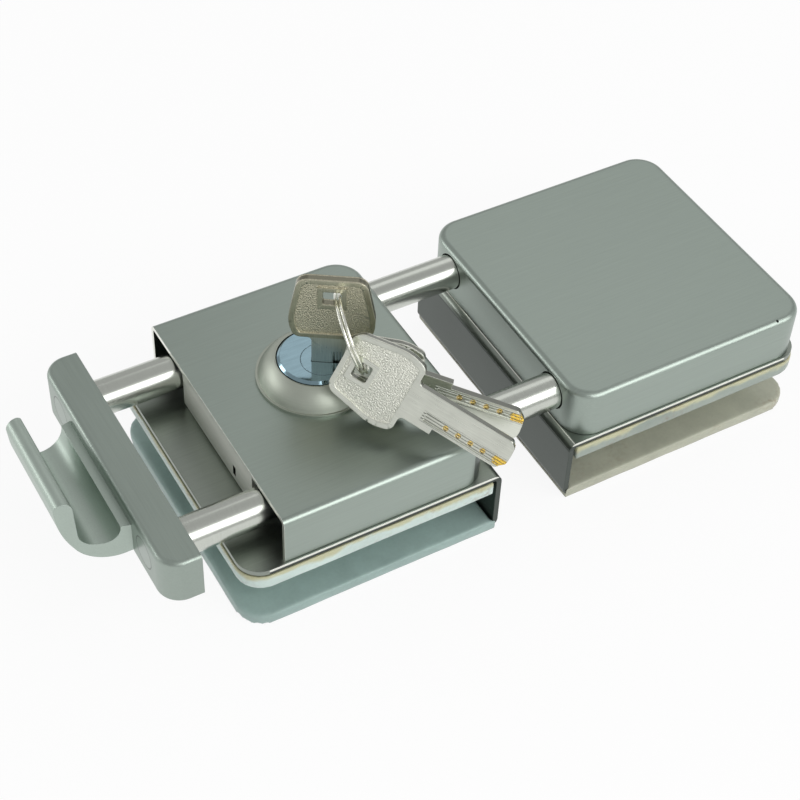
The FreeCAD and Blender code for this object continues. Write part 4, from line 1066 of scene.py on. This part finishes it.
class LOCK_OT_stage(bpy.types.Operator):
    """Set the floor, the lamps, the room light and the camera"""

    bl_idname = "lock.stage"
    bl_label = "Stage"

    def execute(self, context):
        stage = context.scene.lock_stage
        self.make_floor(context, stage)
        self.make_room(context, stage)
        for name, (place, target, size) in LAMPS.items():
            self.make_lamp(context, name + "_lamp", place, target, size, getattr(stage, name))
        self.make_camera(context, stage)
        return {"FINISHED"}

    def make_floor(self, context, stage):
        half = stage.floor_size / 2
        corners = ((-half, -half), (half, -half), (half, half), (-half, half))
        mesh = bpy.data.meshes.new("floor")
        mesh.from_pydata([(x, y, -FLOOR_GAP) for x, y in corners], [], [(0, 1, 2, 3)])
        mesh.materials.append(self.floor_paper(context.scene.lock_colours.floor))
        floor = bpy.data.objects.new("floor", mesh)
        context.scene.collection.objects.link(floor)

    def floor_paper(self, colour):
        """Paper that glows white to the camera and in reflections, and is plain to the lamps' light."""
        material = bpy.data.materials.new("floor_paper")
        material.use_nodes = True
        graph = Graph(material.node_tree)
        graph.tree.nodes.clear()
        paper = graph.add("ShaderNodeBsdfDiffuse", None, {"Color": colour})
        white = graph.add("ShaderNodeEmission", None, {"Color": (1.0, 1.0, 1.0), "Strength": 1.0})
        rays = graph.add("ShaderNodeLightPath").outputs
        seen = sum(Reading(graph, rays[f"Is {kind} Ray"]) for kind in ("Camera", "Glossy", "Transmission"))
        mixed = graph.add("ShaderNodeMixShader", None, {
            0: seen.lower(1.0) * FLOOR_GLOW, 1: paper.outputs[0], 2: white.outputs[0]})
        graph.add("ShaderNodeOutputMaterial", None, {"Surface": mixed.outputs[0]})
        return material

    def make_room(self, context, stage):
        world = bpy.data.worlds.new("room")
        context.scene.world = world
        world.use_nodes = True
        background = world.node_tree.nodes["Background"]
        background.inputs["Color"].default_value = (1, 1, 1, 1)
        background.inputs["Strength"].default_value = stage.sky

    def make_lamp(self, context, name, place, target, size, power):
        lamp = bpy.data.lights.new(name, "AREA")
        lamp.shape = "RECTANGLE"
        lamp.size, lamp.size_y = size
        lamp.energy = power
        holder = bpy.data.objects.new(name, lamp)
        context.scene.collection.objects.link(holder)
        holder.location = place
        holder.rotation_euler = (Vector(target) - Vector(place)).to_track_quat("-Z", "Y").to_euler()

    def make_camera(self, context, stage):
        azimuth, elevation, roll = stage.azimuth, stage.elevation, stage.roll
        back = Vector((math.sin(azimuth) * math.cos(elevation), -math.cos(azimuth) * math.cos(elevation),
                       math.sin(elevation)))
        right = Vector((math.cos(azimuth), math.sin(azimuth), 0))
        up = back.cross(right)
        leaning_right = right * math.cos(roll) + up * math.sin(roll)
        leaning_up = up * math.cos(roll) - right * math.sin(roll)
        camera = bpy.data.cameras.new("camera")
        camera.sensor_width = 36
        camera.lens = stage.lens
        camera.clip_start = 0.01
        holder = bpy.data.objects.new("camera", camera)
        context.scene.collection.objects.link(holder)
        turning = turning_of(leaning_right, leaning_up, back)
        holder.matrix_world = Matrix.Translation(Vector(stage.eye)) @ turning.to_4x4()
        context.scene.camera = holder
        context.scene.view_settings.view_transform = "Standard"


# Panel and registering

GROUPS = {"lock_colours": LockColours, "lock_sizes": LockSizes, "lock_stage": LockStage}
OPERATORS = (LOCK_OT_stage, LOCK_OT_sheets, LOCK_OT_bolts, LOCK_OT_cylinder, LOCK_OT_springs,
             LOCK_OT_fasteners, LOCK_OT_keys, LOCK_OT_key_ring, LOCK_OT_pads)


class VIEW3D_PT_door_lock(bpy.types.Panel):
    """The lock's pieces and stage in the sidebar"""

    bl_label = "Glass door lock"
    bl_space_type = "VIEW_3D"
    bl_region_type = "UI"
    bl_category = "Door lock"

    def draw(self, context):
        for operator in OPERATORS:
            self.layout.operator(operator.bl_idname)
        for name, group in GROUPS.items():
            column = self.layout.column()
            for key in group.__annotations__:
                column.prop(getattr(context.scene, name), key)


def register():
    for group in GROUPS.values():
        bpy.utils.register_class(group)
    for name, group in GROUPS.items():
        setattr(bpy.types.Scene, name, bpy.props.PointerProperty(type=group))
    for operator in OPERATORS:
        bpy.utils.register_class(operator)
    bpy.utils.register_class(VIEW3D_PT_door_lock)


def unregister():
    bpy.utils.unregister_class(VIEW3D_PT_door_lock)
    for operator in reversed(OPERATORS):
        bpy.utils.unregister_class(operator)
    for name in GROUPS:
        delattr(bpy.types.Scene, name)
    for group in reversed(list(GROUPS.values())):
        bpy.utils.unregister_class(group)


def main():
    register()
    bpy.ops.lock.stage()
    bpy.ops.lock.sheets()
    bpy.ops.lock.bolts()
    bpy.ops.lock.cylinder()
    bpy.ops.lock.springs()
    bpy.ops.lock.fasteners()
    bpy.ops.lock.keys()
    bpy.ops.lock.key_ring()
    bpy.ops.lock.pads()


if __name__ == "__main__":
    main()
